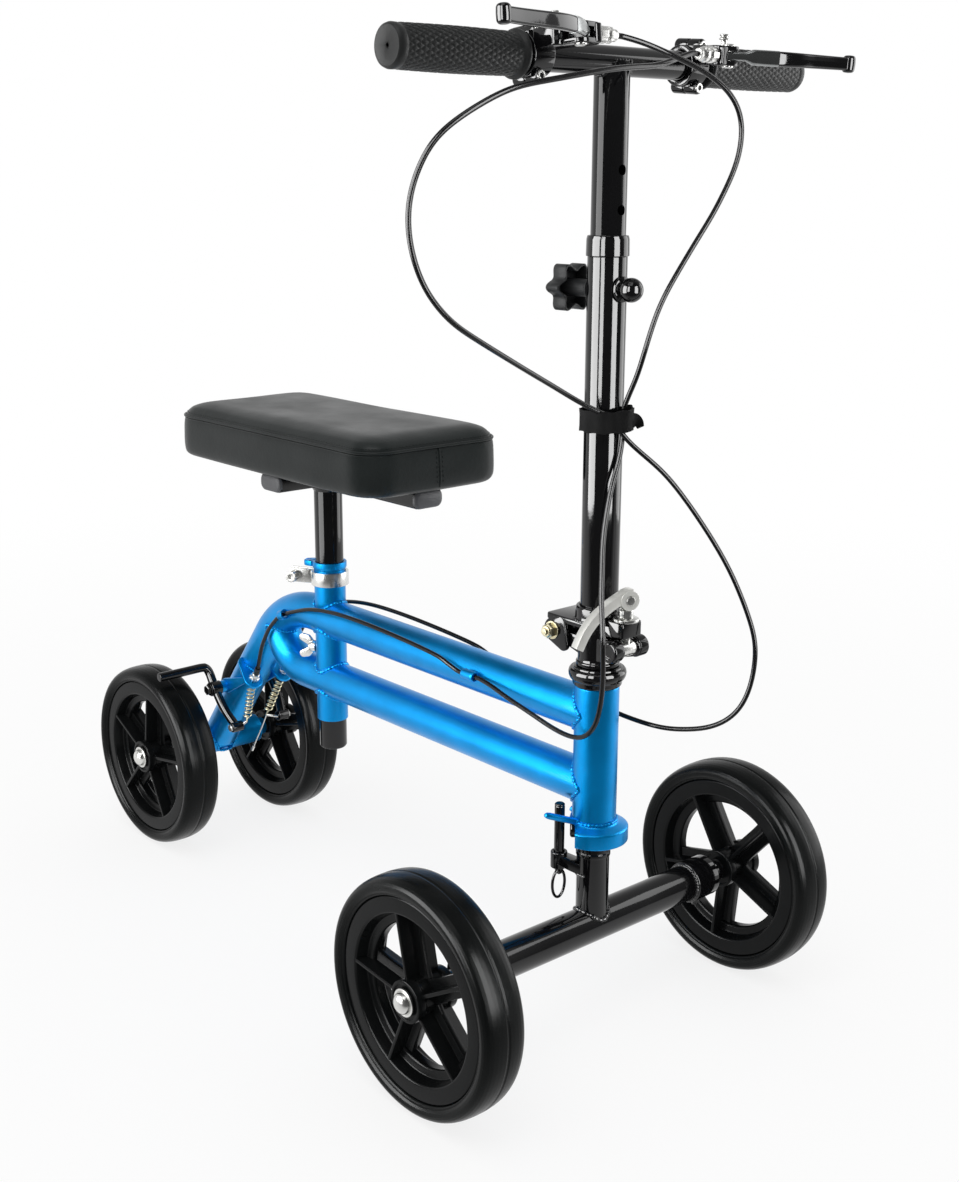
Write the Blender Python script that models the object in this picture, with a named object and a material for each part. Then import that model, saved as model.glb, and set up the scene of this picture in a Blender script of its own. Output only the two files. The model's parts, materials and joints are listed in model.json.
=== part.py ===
"""Knee scooter: steerable four-wheeled frame with a folding column, knee pad and two scrub brakes.

+X is forward, +Y is the rider's left, +Z is up. The floor is z = 0. Metres.
"""

import bmesh
import bpy
import math
from mathutils import Matrix, Vector

# Wheels and stance
WHEELBASE = 0.614
FRONT_TRACK = 0.377
REAR_TRACK = 0.161
WHEEL_DIAMETER = 0.2032
TYRE_DEPTH = 0.0161
TYRE_WIDTH = 0.042
HUB_LENGTH = 0.041
HUB_DIAMETER = 0.036
AXLE_DIAMETER = 0.012
SPOKE_COUNT = 5
SPOKE_WIDTH = 0.0195
SPOKE_DEPTH = 0.019
RIM_STEP = 0.0105
WHEEL_SIDES = 28
# How far the photograph shows each wheel turned, in sides of its circle
FRONT_RIGHT_TURN = 8
FRONT_LEFT_TURN = 15
REAR_RIGHT_TURN = 12
REAR_LEFT_TURN = 18

# Frame
SEAT_AHEAD = 0.230
UPPER_TUBE_Z = 0.297
TUBE_SPACING = 0.066
FRAME_WALL = 0.002
FRAME_SIDE_WALL = 0.00285
LEG_SLOPE = 52.0
LEG_BEND = 0.105
LOOP_BEND = 0.050
LOOP_TURN = 78.0
CROSS_DIAMETER = 0.033
CROSS_HALF = 0.050

# Head and steering
HEAD_DIAMETER = 0.038
HEAD_BELOW = 0.039
HEAD_ABOVE = 0.0255
CUP_DIAMETER = 0.047
CUP_HEIGHT = 0.020
STEERER_DIAMETER = 0.0286
CROSSBAR_DIAMETER = 0.033
LUG_DIAMETER = 0.038
LUG_LENGTH = 0.028
PIN_DIAMETER = 0.009
PIN_REACH = 0.0295
PIN_BEARING = 225.0
PRONG_SPREAD = 36.0

# Seat
POST_DIAMETER = 0.0286
SEAT_TUBE_WALL = 0.0013
SEAT_TUBE_LOW = 0.1885
SEAT_TUBE_TOP = 0.357
POST_LOW = 0.159
PAD_BOTTOM = 0.455
PAD_THICKNESS = 0.057
PAD_LENGTH = 0.339
PAD_WIDTH = 0.170
PAD_CORNER = 0.033
PAD_OFFSET = 0.010
BRACKET_WIDTH = 0.034
BRACKET_HEIGHT = 0.0177

# Fold joint, column and bar
HINGE_SETBACK = 0.035
HINGE_Z = 0.366
HINGE_BOLT = 0.006
LATCH_FORWARD = 0.031
LATCH_Z = 0.361
COLUMN_WALL = 0.0016
COLUMN_TOP = 0.6752
BAR_POST_DIAMETER = 0.028
BAR_POST_LOW = 0.475
BAR_Z = 0.8204
BAR_DIAMETER = 0.0222
BAR_WALL = 0.0018
HOLE_PITCH = 0.030
HOLE_DIAMETER = 0.008
LOCK_Z = 0.6505
KNOB_DIAMETER = 0.042
GRIP_START = 0.098
GRIP_END = 0.2165
GRIP_DIAMETER = 0.030
LEVER_AHEAD = 0.046
LEVER_Y = 0.079
LEVER_RISE = 0.0086
TIE_LOW = 0.540
TIE_TOP = 0.556

# Rear brakes
BRAKE_PIVOT_ALONG = 0.0995
BRAKE_PIVOT_OFF = 0.0057
ARM_DIAMETER = 0.010
SCRUB_GAP = 0.0064
CABLE_DIAMETER = 0.005

# Gaps: between pieces that sit together, and round pieces that turn or slide
SEAT_GAP = 0.0003
RUN_GAP = 0.0003

# Values that follow from the sizes above
HEAD_X = WHEELBASE / 2
REAR_X = -WHEELBASE / 2
SEAT_X = REAR_X + SEAT_AHEAD
WHEEL_R = WHEEL_DIAMETER / 2
AXLE_Z = WHEEL_R
AXLE_R = AXLE_DIAMETER / 2
RIM_R = WHEEL_R - TYRE_DEPTH
LOWER_TUBE_Z = UPPER_TUBE_Z - TUBE_SPACING
POST_R = POST_DIAMETER / 2
SEAT_R = POST_R + RUN_GAP + SEAT_TUBE_WALL
FRAME_R = SEAT_R + SEAT_GAP + FRAME_SIDE_WALL
FRAME_BORE = FRAME_R - FRAME_WALL
HEAD_R = HEAD_DIAMETER / 2
STEER_R = STEERER_DIAMETER / 2
HEAD_LOW = LOWER_TUBE_Z - HEAD_BELOW
HEAD_TOP = UPPER_TUBE_Z + HEAD_ABOVE
CUP_LOW = HEAD_LOW - CUP_HEIGHT
STEER_TOP = HEAD_TOP + 0.0225
BAR_POST_R = BAR_POST_DIAMETER / 2
COLUMN_BORE = BAR_POST_R + RUN_GAP
COLUMN_R = COLUMN_BORE + COLUMN_WALL
BAR_R = BAR_DIAMETER / 2
CROSS_R = CROSS_DIAMETER / 2
CROSSBAR_R = CROSSBAR_DIAMETER / 2
HUB_HALF = HUB_LENGTH / 2
SIDES = {"right": -1, "left": 1}

for old in list(bpy.data.objects):
    bpy.data.objects.remove(old, do_unlink=True)

# Colour, metalness and roughness of each finish
FINISHES = {
    "blue": ((0.006, 0.20, 0.62, 1), 0.5, 0.28),
    "black": ((0.012, 0.012, 0.013, 1), 0.3, 0.25),
    "zinc": ((0.60, 0.60, 0.60, 1), 1.0, 0.32),
    "chrome": ((0.75, 0.75, 0.76, 1), 1.0, 0.12),
    "plastic": ((0.018, 0.018, 0.019, 1), 0.0, 0.45),
    "grey": ((0.22, 0.22, 0.23, 1), 0.0, 0.5),
    "tyre": ((0.035, 0.035, 0.036, 1), 0.0, 0.7),
    "grip": ((0.015, 0.015, 0.015, 1), 0.0, 0.6),
    "vinyl": ((0.014, 0.014, 0.015, 1), 0.0, 0.4),
    "cable": ((0.015, 0.015, 0.016, 1), 0.0, 0.4),
}


def solid(points, faces):
    """A closed mesh with every face turned outwards."""
    shape = bmesh.new()
    corners = [shape.verts.new(point) for point in points]
    for face in faces:
        shape.faces.new([corners[index] for index in face])
    bmesh.ops.recalc_face_normals(shape, faces=shape.faces)
    mesh = bpy.data.meshes.new("shape")
    shape.to_mesh(mesh)
    shape.free()
    return mesh


def cross_axes(along):
    """Two directions at right angles to the one given and to each other."""
    guide = Vector((1, 0, 0)) if abs(along.z) > 0.9 else Vector((0, 0, 1))
    first = (guide - along * guide.dot(along)).normalized()
    return first, along.cross(first)


def turned(profile, origin, axis, sides=24):
    """A profile of (radius, height) pairs turned about an axis. A profile off the axis gives a ring."""
    along = Vector(axis).normalized()
    first, second = cross_axes(along)
    points = []
    rings = []
    for radius, height in profile:
        centre = Vector(origin) + along * height
        if radius < 1e-7:
            rings.append([len(points)] * sides)
            points.append(centre)
            continue
        rings.append(list(range(len(points), len(points) + sides)))
        for step in range(sides):
            angle = 2 * math.pi * step / sides
            points.append(centre + (first * math.cos(angle) + second * math.sin(angle)) * radius)
    pairs = list(zip(rings, rings[1:]))
    if profile[0][0] > 1e-7:
        pairs.append((rings[-1], rings[0]))
    faces = []
    for low, high in pairs:
        for step in range(sides):
            after = (step + 1) % sides
            face = list(dict.fromkeys([low[step], low[after], high[after], high[step]]))
            if len(face) > 2:
                faces.append(face)
    return solid(points, faces)


def rod(radius, start, end, sides=12):
    """A plain round bar between two points."""
    run = Vector(end) - Vector(start)
    return turned([(0, 0), (radius, 0), (radius, run.length), (0, run.length)], start, run, sides)


def sleeve(bore, radius, start, end, sides=20):
    """A plain round tube between two points."""
    run = Vector(end) - Vector(start)
    return turned([(bore, 0), (radius, 0), (radius, run.length), (bore, run.length)], start, run, sides)


def swept(route, radius, sides=16, bore=0.0, closed=False):
    """A round bar, or a tube where there is a bore, along a run of points."""
    route = [Vector(point) for point in route]
    count = len(route)
    tangents = []
    for index in range(count):
        before = route[(index - 1) % count] if closed or index else route[0]
        after = route[(index + 1) % count] if closed or index < count - 1 else route[-1]
        tangents.append((after - before).normalized())
    first = cross_axes(tangents[0])[0]
    frames = []
    for tangent in tangents:
        first = (first - tangent * first.dot(tangent)).normalized()
        frames.append((first, tangent.cross(first)))
    points = []
    for size in [radius] + ([bore] if bore else []):
        for centre, (across, up) in zip(route, frames):
            for step in range(sides):
                angle = 2 * math.pi * step / sides
                points.append(centre + (across * math.cos(angle) + up * math.sin(angle)) * size)
    faces = []
    for shell in range(2 if bore else 1):
        base = shell * count * sides
        for index in range(count if closed else count - 1):
            low = base + index * sides
            high = base + (index + 1) % count * sides
            for step in range(sides):
                after = (step + 1) % sides
                faces.append([low + step, low + after, high + after, high + step])
    if not closed:
        for ring in (0, (count - 1) * sides):
            if bore:
                inner = ring + count * sides
                for step in range(sides):
                    after = (step + 1) % sides
                    faces.append([ring + step, ring + after, inner + after, inner + step])
            else:
                faces.append(list(range(ring, ring + sides)))
    return solid(points, faces)


def slab(outline, low, high, place):
    """An outline drawn out from low to high. place turns (a, b, height) into a point."""
    count = len(outline)
    points = [place(a, b, low) for a, b in outline] + [place(a, b, high) for a, b in outline]
    faces = [list(range(count)), list(range(count, 2 * count))]
    for index in range(count):
        after = (index + 1) % count
        faces.append([index, after, count + after, count + index])
    return solid(points, faces)


def hull(circles, steps=12):
    """The outline of a band stretched round circles of (a, b, radius)."""
    spots = set()
    for a, b, radius in circles:
        for step in range(steps):
            angle = 2 * math.pi * step / steps
            spots.add((round(a + radius * math.cos(angle), 7), round(b + radius * math.sin(angle), 7)))
    spots = sorted(spots)
    outline = []
    for run in (spots, spots[::-1]):
        half = []
        for spot in run:
            while len(half) > 1:
                (a0, b0), (a1, b1) = half[-2], half[-1]
                if (a1 - a0) * (spot[1] - b0) - (b1 - b0) * (spot[0] - a0) > 1e-10:
                    break
                half.pop()
            half.append(spot)
        outline += half[:-1]
    return outline


def rectangle(a_half, b_half, corner, a_mid=0.0, b_mid=0.0, steps=4):
    """A rectangle with rounded corners."""
    outline = []
    for quarter, (a_sign, b_sign) in enumerate(((1, 1), (-1, 1), (-1, -1), (1, -1))):
        for step in range(steps + 1):
            angle = math.pi / 2 * (quarter + step / steps)
            a = a_mid + a_sign * (a_half - corner) + corner * math.cos(angle)
            b = b_mid + b_sign * (b_half - corner) + corner * math.sin(angle)
            outline.append((a, b))
    return outline


def ribbon(path, half_widths):
    """The outline of a strip along a path, with its half width at each point."""
    near = []
    far = []
    for index, (a, b) in enumerate(path):
        a0, b0 = path[max(index - 1, 0)]
        a1, b1 = path[min(index + 1, len(path) - 1)]
        length = math.hypot(a1 - a0, b1 - b0)
        a_off = -(b1 - b0) / length * half_widths[index]
        b_off = (a1 - a0) / length * half_widths[index]
        near.append((a + a_off, b + b_off))
        far.append((a - a_off, b - b_off))
    return near + far[::-1]


def block(low, high):
    """A box between two corners."""
    outline = [(low[0], low[1]), (high[0], low[1]), (high[0], high[1]), (low[0], high[1])]
    return slab(outline, low[2], high[2], lambda a, b, h: (a, b, h))


def bend(centre, radius, start, end, steps):
    """Points of an arc in the plane of symmetry, with angles in degrees from +X towards +Z."""
    points = []
    for step in range(steps + 1):
        angle = math.radians(start + (end - start) * step / steps)
        points.append((centre[0] + radius * math.cos(angle), 0, centre[1] + radius * math.sin(angle)))
    return points


def carve(base, add=(), cut=()):
    """Joins shapes to a base and then cuts others from it. The helpers are removed."""
    host = bpy.data.objects.new("host", base)
    bpy.context.scene.collection.objects.link(host)
    helpers = [host]
    for operation, group in (("UNION", add), ("DIFFERENCE", cut)):
        for mesh in group:
            helper = bpy.data.objects.new("helper", mesh)
            helper.hide_render = True
            helper.display_type = "WIRE"
            bpy.context.scene.collection.objects.link(helper)
            step = host.modifiers.new("step", "BOOLEAN")
            step.operation = operation
            step.solver = "EXACT"
            step.object = helper
            helpers.append(helper)
    bpy.context.view_layer.update()
    graph = bpy.context.evaluated_depsgraph_get()
    result = bpy.data.meshes.new_from_object(host.evaluated_get(graph))
    for helper in helpers:
        bpy.data.objects.remove(helper, do_unlink=True)
    shape = bmesh.new()
    shape.from_mesh(result)
    bmesh.ops.remove_doubles(shape, verts=shape.verts, dist=0.000002)
    bmesh.ops.dissolve_degenerate(shape, edges=shape.edges, dist=0.000002)
    shape.to_mesh(result)
    shape.free()
    return result


def paint(part, name, finish):
    """Gives an object its own material."""
    colour, metal, rough = FINISHES[finish]
    material = bpy.data.materials.new(name)
    material.use_nodes = True
    shader = material.node_tree.nodes["Principled BSDF"]
    shader.inputs["Base Color"].default_value = colour
    shader.inputs["Metallic"].default_value = metal
    shader.inputs["Roughness"].default_value = rough
    material.diffuse_color = colour
    if not part.data.materials:
        part.data.materials.append(None)
    part.material_slots[0].link = "OBJECT"
    part.material_slots[0].material = material


def node(name, mesh, finish, origin=None, shared=False):
    """One named piece. A mesh in world places is moved so that the piece's origin is the point given."""
    origin = Vector(origin) if origin is not None else Vector((0, 0, 0))
    if not shared:
        mesh.transform(Matrix.Translation(-origin))
        mesh.materials.clear()
    mesh.shade_smooth()
    mesh.set_sharp_from_angle(angle=math.radians(32))
    part = bpy.data.objects.new(name, mesh)
    part.location = origin
    bpy.context.scene.collection.objects.link(part)
    paint(part, name, finish)
    return part


def head(u, y, z):
    """A point measured forward from the steering axis."""
    return Vector((HEAD_X + u, y, z))


def tail(x, y, z):
    """A point measured forward from the rear axle."""
    return Vector((REAR_X + x, y, z))


def round_head(radius, bearing, z):
    """A point at a radius and bearing round the steering axis."""
    angle = math.radians(bearing)
    return head(radius * math.cos(angle), radius * math.sin(angle), z)


def spoke_bar(bearing, near, far, width):
    """The plan outline of a bar that runs out from the steering axis."""
    angle = math.radians(bearing)
    out = (math.cos(angle), math.sin(angle))
    outline = []
    for reach, side in ((near, -1), (far, -1), (far, 1), (near, 1)):
        a = HEAD_X + reach * out[0] - side * width / 2 * out[1]
        b = reach * out[1] + side * width / 2 * out[0]
        outline.append((a, b))
    return outline


def flat(a, b, h):
    """Plan outlines: a is X, b is Y and the height is Z."""
    return (a, b, h)


def upright(a, b, h):
    """Side outlines: a is X, b is Z and the height is Y."""
    return (a, h, b)


# Wheels: one tyre and one rim shape, used four times
half = TYRE_WIDTH / 2
face_half = 0.78 * half
side_shape = [(0.0, 0.78), (0.16, 0.93), (0.45, 1.0), (0.76, 0.88), (1.0, 0.40)]
tyre_profile = [(RIM_R + SEAT_GAP, -face_half)]
tyre_profile += [(RIM_R + depth * TYRE_DEPTH, -wide * half) for depth, wide in side_shape[1:]]
tyre_profile += [(radius, -height) for radius, height in tyre_profile[::-1]]
tyre_mesh = turned(tyre_profile, (0, 0, 0), (0, 1, 0), WHEEL_SIDES)

step_r = RIM_R - 0.0155
lip_r = RIM_R - 0.0250
lip_half = face_half - RIM_STEP
rim_profile = [(lip_r, -lip_half), (step_r, -face_half), (RIM_R, -face_half)]
rim_profile += [(radius, -height) for radius, height in rim_profile[::-1]]
rim_ring = turned(rim_profile, (0, 0, 0), (0, 1, 0), WHEEL_SIDES)
hub = sleeve(AXLE_R + RUN_GAP, HUB_DIAMETER / 2, (0, -HUB_HALF, 0), (0, HUB_HALF, 0), 20)
spokes = []
for index in range(SPOKE_COUNT):
    angle = 2 * math.pi * index / SPOKE_COUNT
    out = Vector((math.cos(angle), 0, math.sin(angle)))
    side = Vector((-math.sin(angle), 0, math.cos(angle)))
    outline = [
        (HUB_DIAMETER * 0.36, -0.55), (lip_r + 0.004, -0.48), (lip_r + 0.004, 0.48),
        (HUB_DIAMETER * 0.36, 0.55),
    ]
    spokes.append(
        slab(
            outline,
            -SPOKE_DEPTH / 2,
            SPOKE_DEPTH / 2,
            lambda a, b, h, out=out, side=side: out * a + side * (b * SPOKE_WIDTH) + Vector((0, h, 0)),
        )
    )
rim_mesh = carve(rim_ring, add=[hub] + spokes)
tyre_mesh.materials.clear()
rim_mesh.materials.clear()
for name, x, y, turn in (
    ("front_right", HEAD_X, -FRONT_TRACK / 2, FRONT_RIGHT_TURN),
    ("front_left", HEAD_X, FRONT_TRACK / 2, FRONT_LEFT_TURN),
    ("rear_right", REAR_X, -REAR_TRACK / 2, REAR_RIGHT_TURN),
    ("rear_left", REAR_X, REAR_TRACK / 2, REAR_LEFT_TURN),
):
    node(name + "_tyre", tyre_mesh, "tyre", (x, y, AXLE_Z), shared=True)
    rim = node(name + "_rim", rim_mesh, "black", (x, y, AXLE_Z), shared=True)
    rim.rotation_euler.y = -2 * math.pi * turn / WHEEL_SIDES

# Nut with a domed end, as (radius, height) pairs from its base
NUT_R = 0.0105
dome_nut = [(NUT_R, 0.0), (NUT_R, 0.005), (NUT_R * 0.84, 0.0085), (NUT_R * 0.5, 0.011), (0, 0.012)]

# Front axles: spacer, spindle and domed nut
front_face = FRONT_TRACK / 2 - HUB_HALF
spacer_end = front_face - RUN_GAP
lug_end = spacer_end - 0.0175
nut_base = FRONT_TRACK / 2 + HUB_HALF + RUN_GAP
for name, side in SIDES.items():
    profile = [(0, lug_end + SEAT_GAP), (0.010, lug_end + SEAT_GAP), (0.010, spacer_end)]
    profile += [(AXLE_R, spacer_end), (AXLE_R, nut_base)]
    profile += [(radius, nut_base + height) for radius, height in dome_nut]
    axle = turned(profile, (HEAD_X, 0, AXLE_Z), (0, side, 0), 12)
    node(name + "_front_axle", axle, "zinc", (HEAD_X, side * lug_end, AXLE_Z))

# Front crossbar with its end lugs
lug_start = lug_end - LUG_LENGTH
lug_r = LUG_DIAMETER / 2
profile = [(0, -lug_end), (lug_r, -lug_end), (lug_r, -lug_start), (CROSSBAR_R, -lug_start)]
profile += [(radius, -height) for radius, height in profile[::-1]]
node(
    "front_crossbar", turned(profile, (HEAD_X, 0, AXLE_Z), (0, 1, 0), 16), "black", (HEAD_X, 0, AXLE_Z)
)

# Steerer with its bearing race and the arm that carries the lock pin
pin_r = PIN_DIAMETER / 2
race_top = CUP_LOW - RUN_GAP
arm_top = race_top - 0.0057
arm_low = arm_top - 0.008
profile = [
    (0, AXLE_Z), (STEER_R, AXLE_Z), (STEER_R, race_top - 0.0037), (STEER_R + 0.0032, race_top - 0.0037)
]
profile += [(STEER_R + 0.0032, race_top), (STEER_R, race_top), (STEER_R, STEER_TOP), (0, STEER_TOP)]
pin_spot = round_head(PIN_REACH, PIN_BEARING, 0)
arm_outline = hull([(HEAD_X, 0, STEER_R * 0.6), (pin_spot.x, pin_spot.y, pin_r + 0.0042)])
fork = carve(
    turned(profile, (HEAD_X, 0, 0), (0, 0, 1), 20),
    add=[slab(arm_outline, arm_low, arm_top, flat)],
    cut=[
        rod(CROSSBAR_R + SEAT_GAP, (HEAD_X, -0.05, AXLE_Z), (HEAD_X, 0.05, AXLE_Z), 16),
        rod(
            pin_r + RUN_GAP,
            pin_spot + Vector((0, 0, arm_low - 0.01)),
            pin_spot + Vector((0, 0, arm_top + 0.01)),
        ),
    ],
)
node("fork_steerer", fork, "black", (HEAD_X, 0, CUP_LOW))

# Head tube with its lower cup and the two prongs that the lock pin stands between
head_bore = STEER_R + 0.0021
prong_low = HEAD_LOW + 0.0045
prong_top = prong_low + 0.004
profile = [
    (STEER_R + RUN_GAP, CUP_LOW), (CUP_DIAMETER / 2, CUP_LOW), (CUP_DIAMETER / 2, HEAD_LOW - 0.003)
]
profile += [(HEAD_R, HEAD_LOW), (HEAD_R, HEAD_TOP), (head_bore, HEAD_TOP)]
profile += [(head_bore, CUP_LOW + 0.006), (STEER_R + RUN_GAP, CUP_LOW + 0.006)]
prongs = []
for turn in (-PRONG_SPREAD, PRONG_SPREAD):
    outline = spoke_bar(PIN_BEARING + turn, head_bore + 0.001, PIN_REACH + 0.0145, 0.006)
    prongs.append(slab(outline, prong_low, prong_top, flat))
node(
    "head_tube",
    carve(turned(profile, (HEAD_X, 0, 0), (0, 0, 1), 20), add=prongs),
    "blue",
    (HEAD_X, 0, HEAD_LOW),
)

# Lock pin and its pull ring
pin_top = prong_top + 0.0135
pin_low = arm_low - 0.0105
eye_z = pin_low + 0.004
wire_r = 0.001
pin = carve(
    turned(
        [(0, pin_low), (pin_r, pin_low), (pin_r, pin_top - 0.002), (pin_r - 0.002, pin_top), (0, pin_top)],
        pin_spot,
        (0, 0, 1),
        16,
    ),
    cut=[
        block(
            (pin_spot.x - 0.02, pin_spot.y + 0.0012, pin_low - 0.01),
            (pin_spot.x + 0.02, pin_spot.y + 0.02, eye_z + 0.0055),
        ),
        block(
            (pin_spot.x - 0.02, pin_spot.y - 0.02, pin_low - 0.01),
            (pin_spot.x + 0.02, pin_spot.y - 0.0012, eye_z + 0.0055),
        ),
        rod(
            wire_r + 0.0011,
            pin_spot + Vector((0, -0.01, eye_z)),
            pin_spot + Vector((0, 0.01, eye_z)),
            10,
        ),
    ],
)
node("steering_lock_pin", pin, "black", pin_spot + Vector((0, 0, pin_low)))
ring_route = []
for step in range(18):
    angle = 2 * math.pi * step / 18
    offset = Vector((0, 0.0068 * math.sin(angle), -0.0118 + 0.0118 * math.cos(angle)))
    ring_route.append(pin_spot + Vector((0, 0, eye_z)) + offset)
node(
    "lock_pin_ring", swept(ring_route, wire_r, 6, closed=True), "black", pin_spot + Vector((0, 0, eye_z))
)

# Upper headset cup
cup_low = HEAD_TOP + SEAT_GAP
cup_top = STEER_TOP - 0.005
profile = [
    (STEER_R + RUN_GAP, cup_low), (HEAD_R + 0.0035, cup_low), (HEAD_R + 0.00525, cup_low + 0.005)
]
profile += [(HEAD_R + 0.00525, cup_top), (STEER_R + RUN_GAP, cup_top)]
node("upper_headset_cup", turned(profile, (HEAD_X, 0, 0), (0, 0, 1), 20), "black", (HEAD_X, 0, cup_low))

# Frame tubes
slope = math.radians(LEG_SLOPE)
vertex_x = REAR_X + (UPPER_TUBE_Z - AXLE_Z) / math.tan(slope)
bend_run = LEG_BEND * math.tan(slope / 2)
bend_centre = (vertex_x + bend_run, UPPER_TUBE_Z - LEG_BEND)
upper_route = [(HEAD_X, 0, UPPER_TUBE_Z)]
upper_route += bend(bend_centre, LEG_BEND, 90, 90 + LEG_SLOPE, 6)
leg_end = 0.008
upper_route.append((REAR_X + leg_end * math.cos(slope), 0, AXLE_Z + leg_end * math.sin(slope)))
loop_x = vertex_x + 0.036
loop_centre = (loop_x, LOWER_TUBE_Z + LOOP_BEND)
lower_route = [(HEAD_X, 0, LOWER_TUBE_Z)]
lower_route += bend(loop_centre, LOOP_BEND, 270, 270 - LOOP_TURN, 6)
loop_turn = math.radians(LOOP_TURN)
last_x, last_y, last_z = lower_route[-1]
lower_route.append((last_x - 0.001 * math.cos(loop_turn), 0, last_z + 0.001 * math.sin(loop_turn)))


def head_cut():
    """The head tube's outside, with its gap, for cutting what is welded to it."""
    return rod(HEAD_R + SEAT_GAP, (HEAD_X, 0, HEAD_LOW - 0.05), (HEAD_X, 0, HEAD_TOP + 0.05), 20)


def seat_cut():
    """The seat tube's outside, with its gap, for cutting what it passes through."""
    return rod(
        SEAT_R + SEAT_GAP, (SEAT_X, 0, SEAT_TUBE_LOW - 0.05), (SEAT_X, 0, SEAT_TUBE_TOP + 0.05), 20
    )


# Cable stops at the front and cable guides at the rear of the upper tube
cable_r = CABLE_DIAMETER / 2
stop_y = FRAME_R + 0.0050
stop_z = UPPER_TUBE_Z + 0.004
stop_front = -0.1295
stop_back = stop_front - 0.016
guide_x = bend_centre[0] - 0.026
guide_z = bend_centre[1] + math.sqrt(LEG_BEND**2 - 0.026**2) - 0.001
guide_run = Vector((0.0045, 0, 0.0045 * 0.40))
fixings = []
for side in SIDES.values():
    fixings.append(
        rod(0.0048, head(stop_back, side * stop_y, stop_z), head(stop_front, side * stop_y, stop_z), 12)
    )
    middle = Vector((guide_x, side * stop_y, guide_z))
    fixings.append(
        sleeve(cable_r + 0.0012, cable_r + 0.0029, middle - guide_run, middle + guide_run, 12)
    )
    for spot, reach in ((head((stop_front + stop_back) / 2, 0, stop_z), 0.0040), (middle, 0.0009)):
        inner = side * (FRAME_R - 0.0015)
        outer = side * (FRAME_R + reach)
        foot = (
            (spot.x - 0.004, min(inner, outer), spot.z - 0.0025),
            (spot.x + 0.004, max(inner, outer), spot.z + 0.0025),
        )
        fixings.append(block(*foot))
upper_tube = carve(
    swept(upper_route, FRAME_R, 16, FRAME_BORE),
    add=fixings,
    cut=[
        head_cut(),
        seat_cut(),
        rod(CROSS_R + SEAT_GAP, (REAR_X, -0.1, AXLE_Z), (REAR_X, 0.1, AXLE_Z), 16),
    ],
)
node("upper_frame_tube", upper_tube, "blue", (SEAT_X, 0, UPPER_TUBE_Z))
lower_tube = carve(
    swept(lower_route, FRAME_R, 16, FRAME_BORE),
    cut=[head_cut(), seat_cut(), swept(upper_route, FRAME_R + SEAT_GAP, 16)],
)
node("lower_frame_tube", lower_tube, "blue", (SEAT_X, 0, LOWER_TUBE_Z))

# Seat tube, clamp and wing bolt
wing_z = (UPPER_TUBE_Z + LOWER_TUBE_Z) / 2
WING_BEARING = math.radians(210)
wing_out = Vector((math.cos(WING_BEARING), math.sin(WING_BEARING), 0))
wing_mid = Vector((SEAT_X, 0, wing_z))
bolt_r = 0.003
profile = [(POST_R + RUN_GAP, SEAT_TUBE_LOW), (SEAT_R, SEAT_TUBE_LOW), (SEAT_R, SEAT_TUBE_TOP - 0.008)]
profile += [(SEAT_R + 0.0016, SEAT_TUBE_TOP - 0.006), (SEAT_R + 0.0016, SEAT_TUBE_TOP)]
profile += [(POST_R + RUN_GAP, SEAT_TUBE_TOP)]
seat_tube = carve(
    turned(profile, (SEAT_X, 0, 0), (0, 0, 1), 20),
    cut=[rod(bolt_r + RUN_GAP, wing_mid + wing_out * 0.008, wing_mid + wing_out * 0.03, 12)],
)
node("seat_tube", seat_tube, "blue", (SEAT_X, 0, SEAT_TUBE_LOW))

clamp_top = SEAT_TUBE_TOP - 0.0096
clamp_low = clamp_top - 0.0148
clamp_r = SEAT_R + SEAT_GAP + 0.0033
band = sleeve(SEAT_R + SEAT_GAP, clamp_r, (SEAT_X, 0, clamp_low), (SEAT_X, 0, clamp_top), 20)
CLAMP_BEARING = math.radians(207)
clamp_out = Vector((math.cos(CLAMP_BEARING), math.sin(CLAMP_BEARING), 0))
clamp_side = Vector((-clamp_out.y, clamp_out.x, 0))


def by_clamp(a, b, h):
    """A point measured out from the seat tube towards the clamp's ears, and across them."""
    return Vector((SEAT_X, 0, h)) + clamp_out * a + clamp_side * b


ear_near = SEAT_R + SEAT_GAP + 0.0012
ear_far = clamp_r + 0.0135
clamp_z = (clamp_low + clamp_top) / 2
ears = slab(
    [(ear_near, -0.006), (ear_far, -0.006), (ear_far, 0.006), (ear_near, 0.006)],
    clamp_low,
    clamp_top,
    by_clamp,
)
slit = [
    (SEAT_R - 0.003, -0.0012), (ear_far + 0.002, -0.0012), (ear_far + 0.002, 0.0012),
    (SEAT_R - 0.003, 0.0012),
]
clamp = carve(
    carve(band, add=[ears], cut=[slab(slit, clamp_low - 0.01, clamp_top + 0.01, by_clamp)]),
    add=[
        rod(
            0.0026,
            by_clamp(ear_far - 0.006, -0.0085, clamp_z),
            by_clamp(ear_far - 0.006, 0.0085, clamp_z),
            12,
        ),
        rod(
            0.0045,
            by_clamp(ear_far - 0.006, 0.0055, clamp_z),
            by_clamp(ear_far - 0.006, 0.011, clamp_z),
            12,
        ),
    ],
)
node("seat_clamp", clamp, "zinc", (SEAT_X, 0, clamp_low))


def by_wing(a, b, h):
    """A point measured out along the wing bolt, up from it, and across it."""
    across = wing_out.cross(Vector((0, 0, 1)))
    return wing_mid + wing_out * a + Vector((0, 0, b)) + across * h


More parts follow.
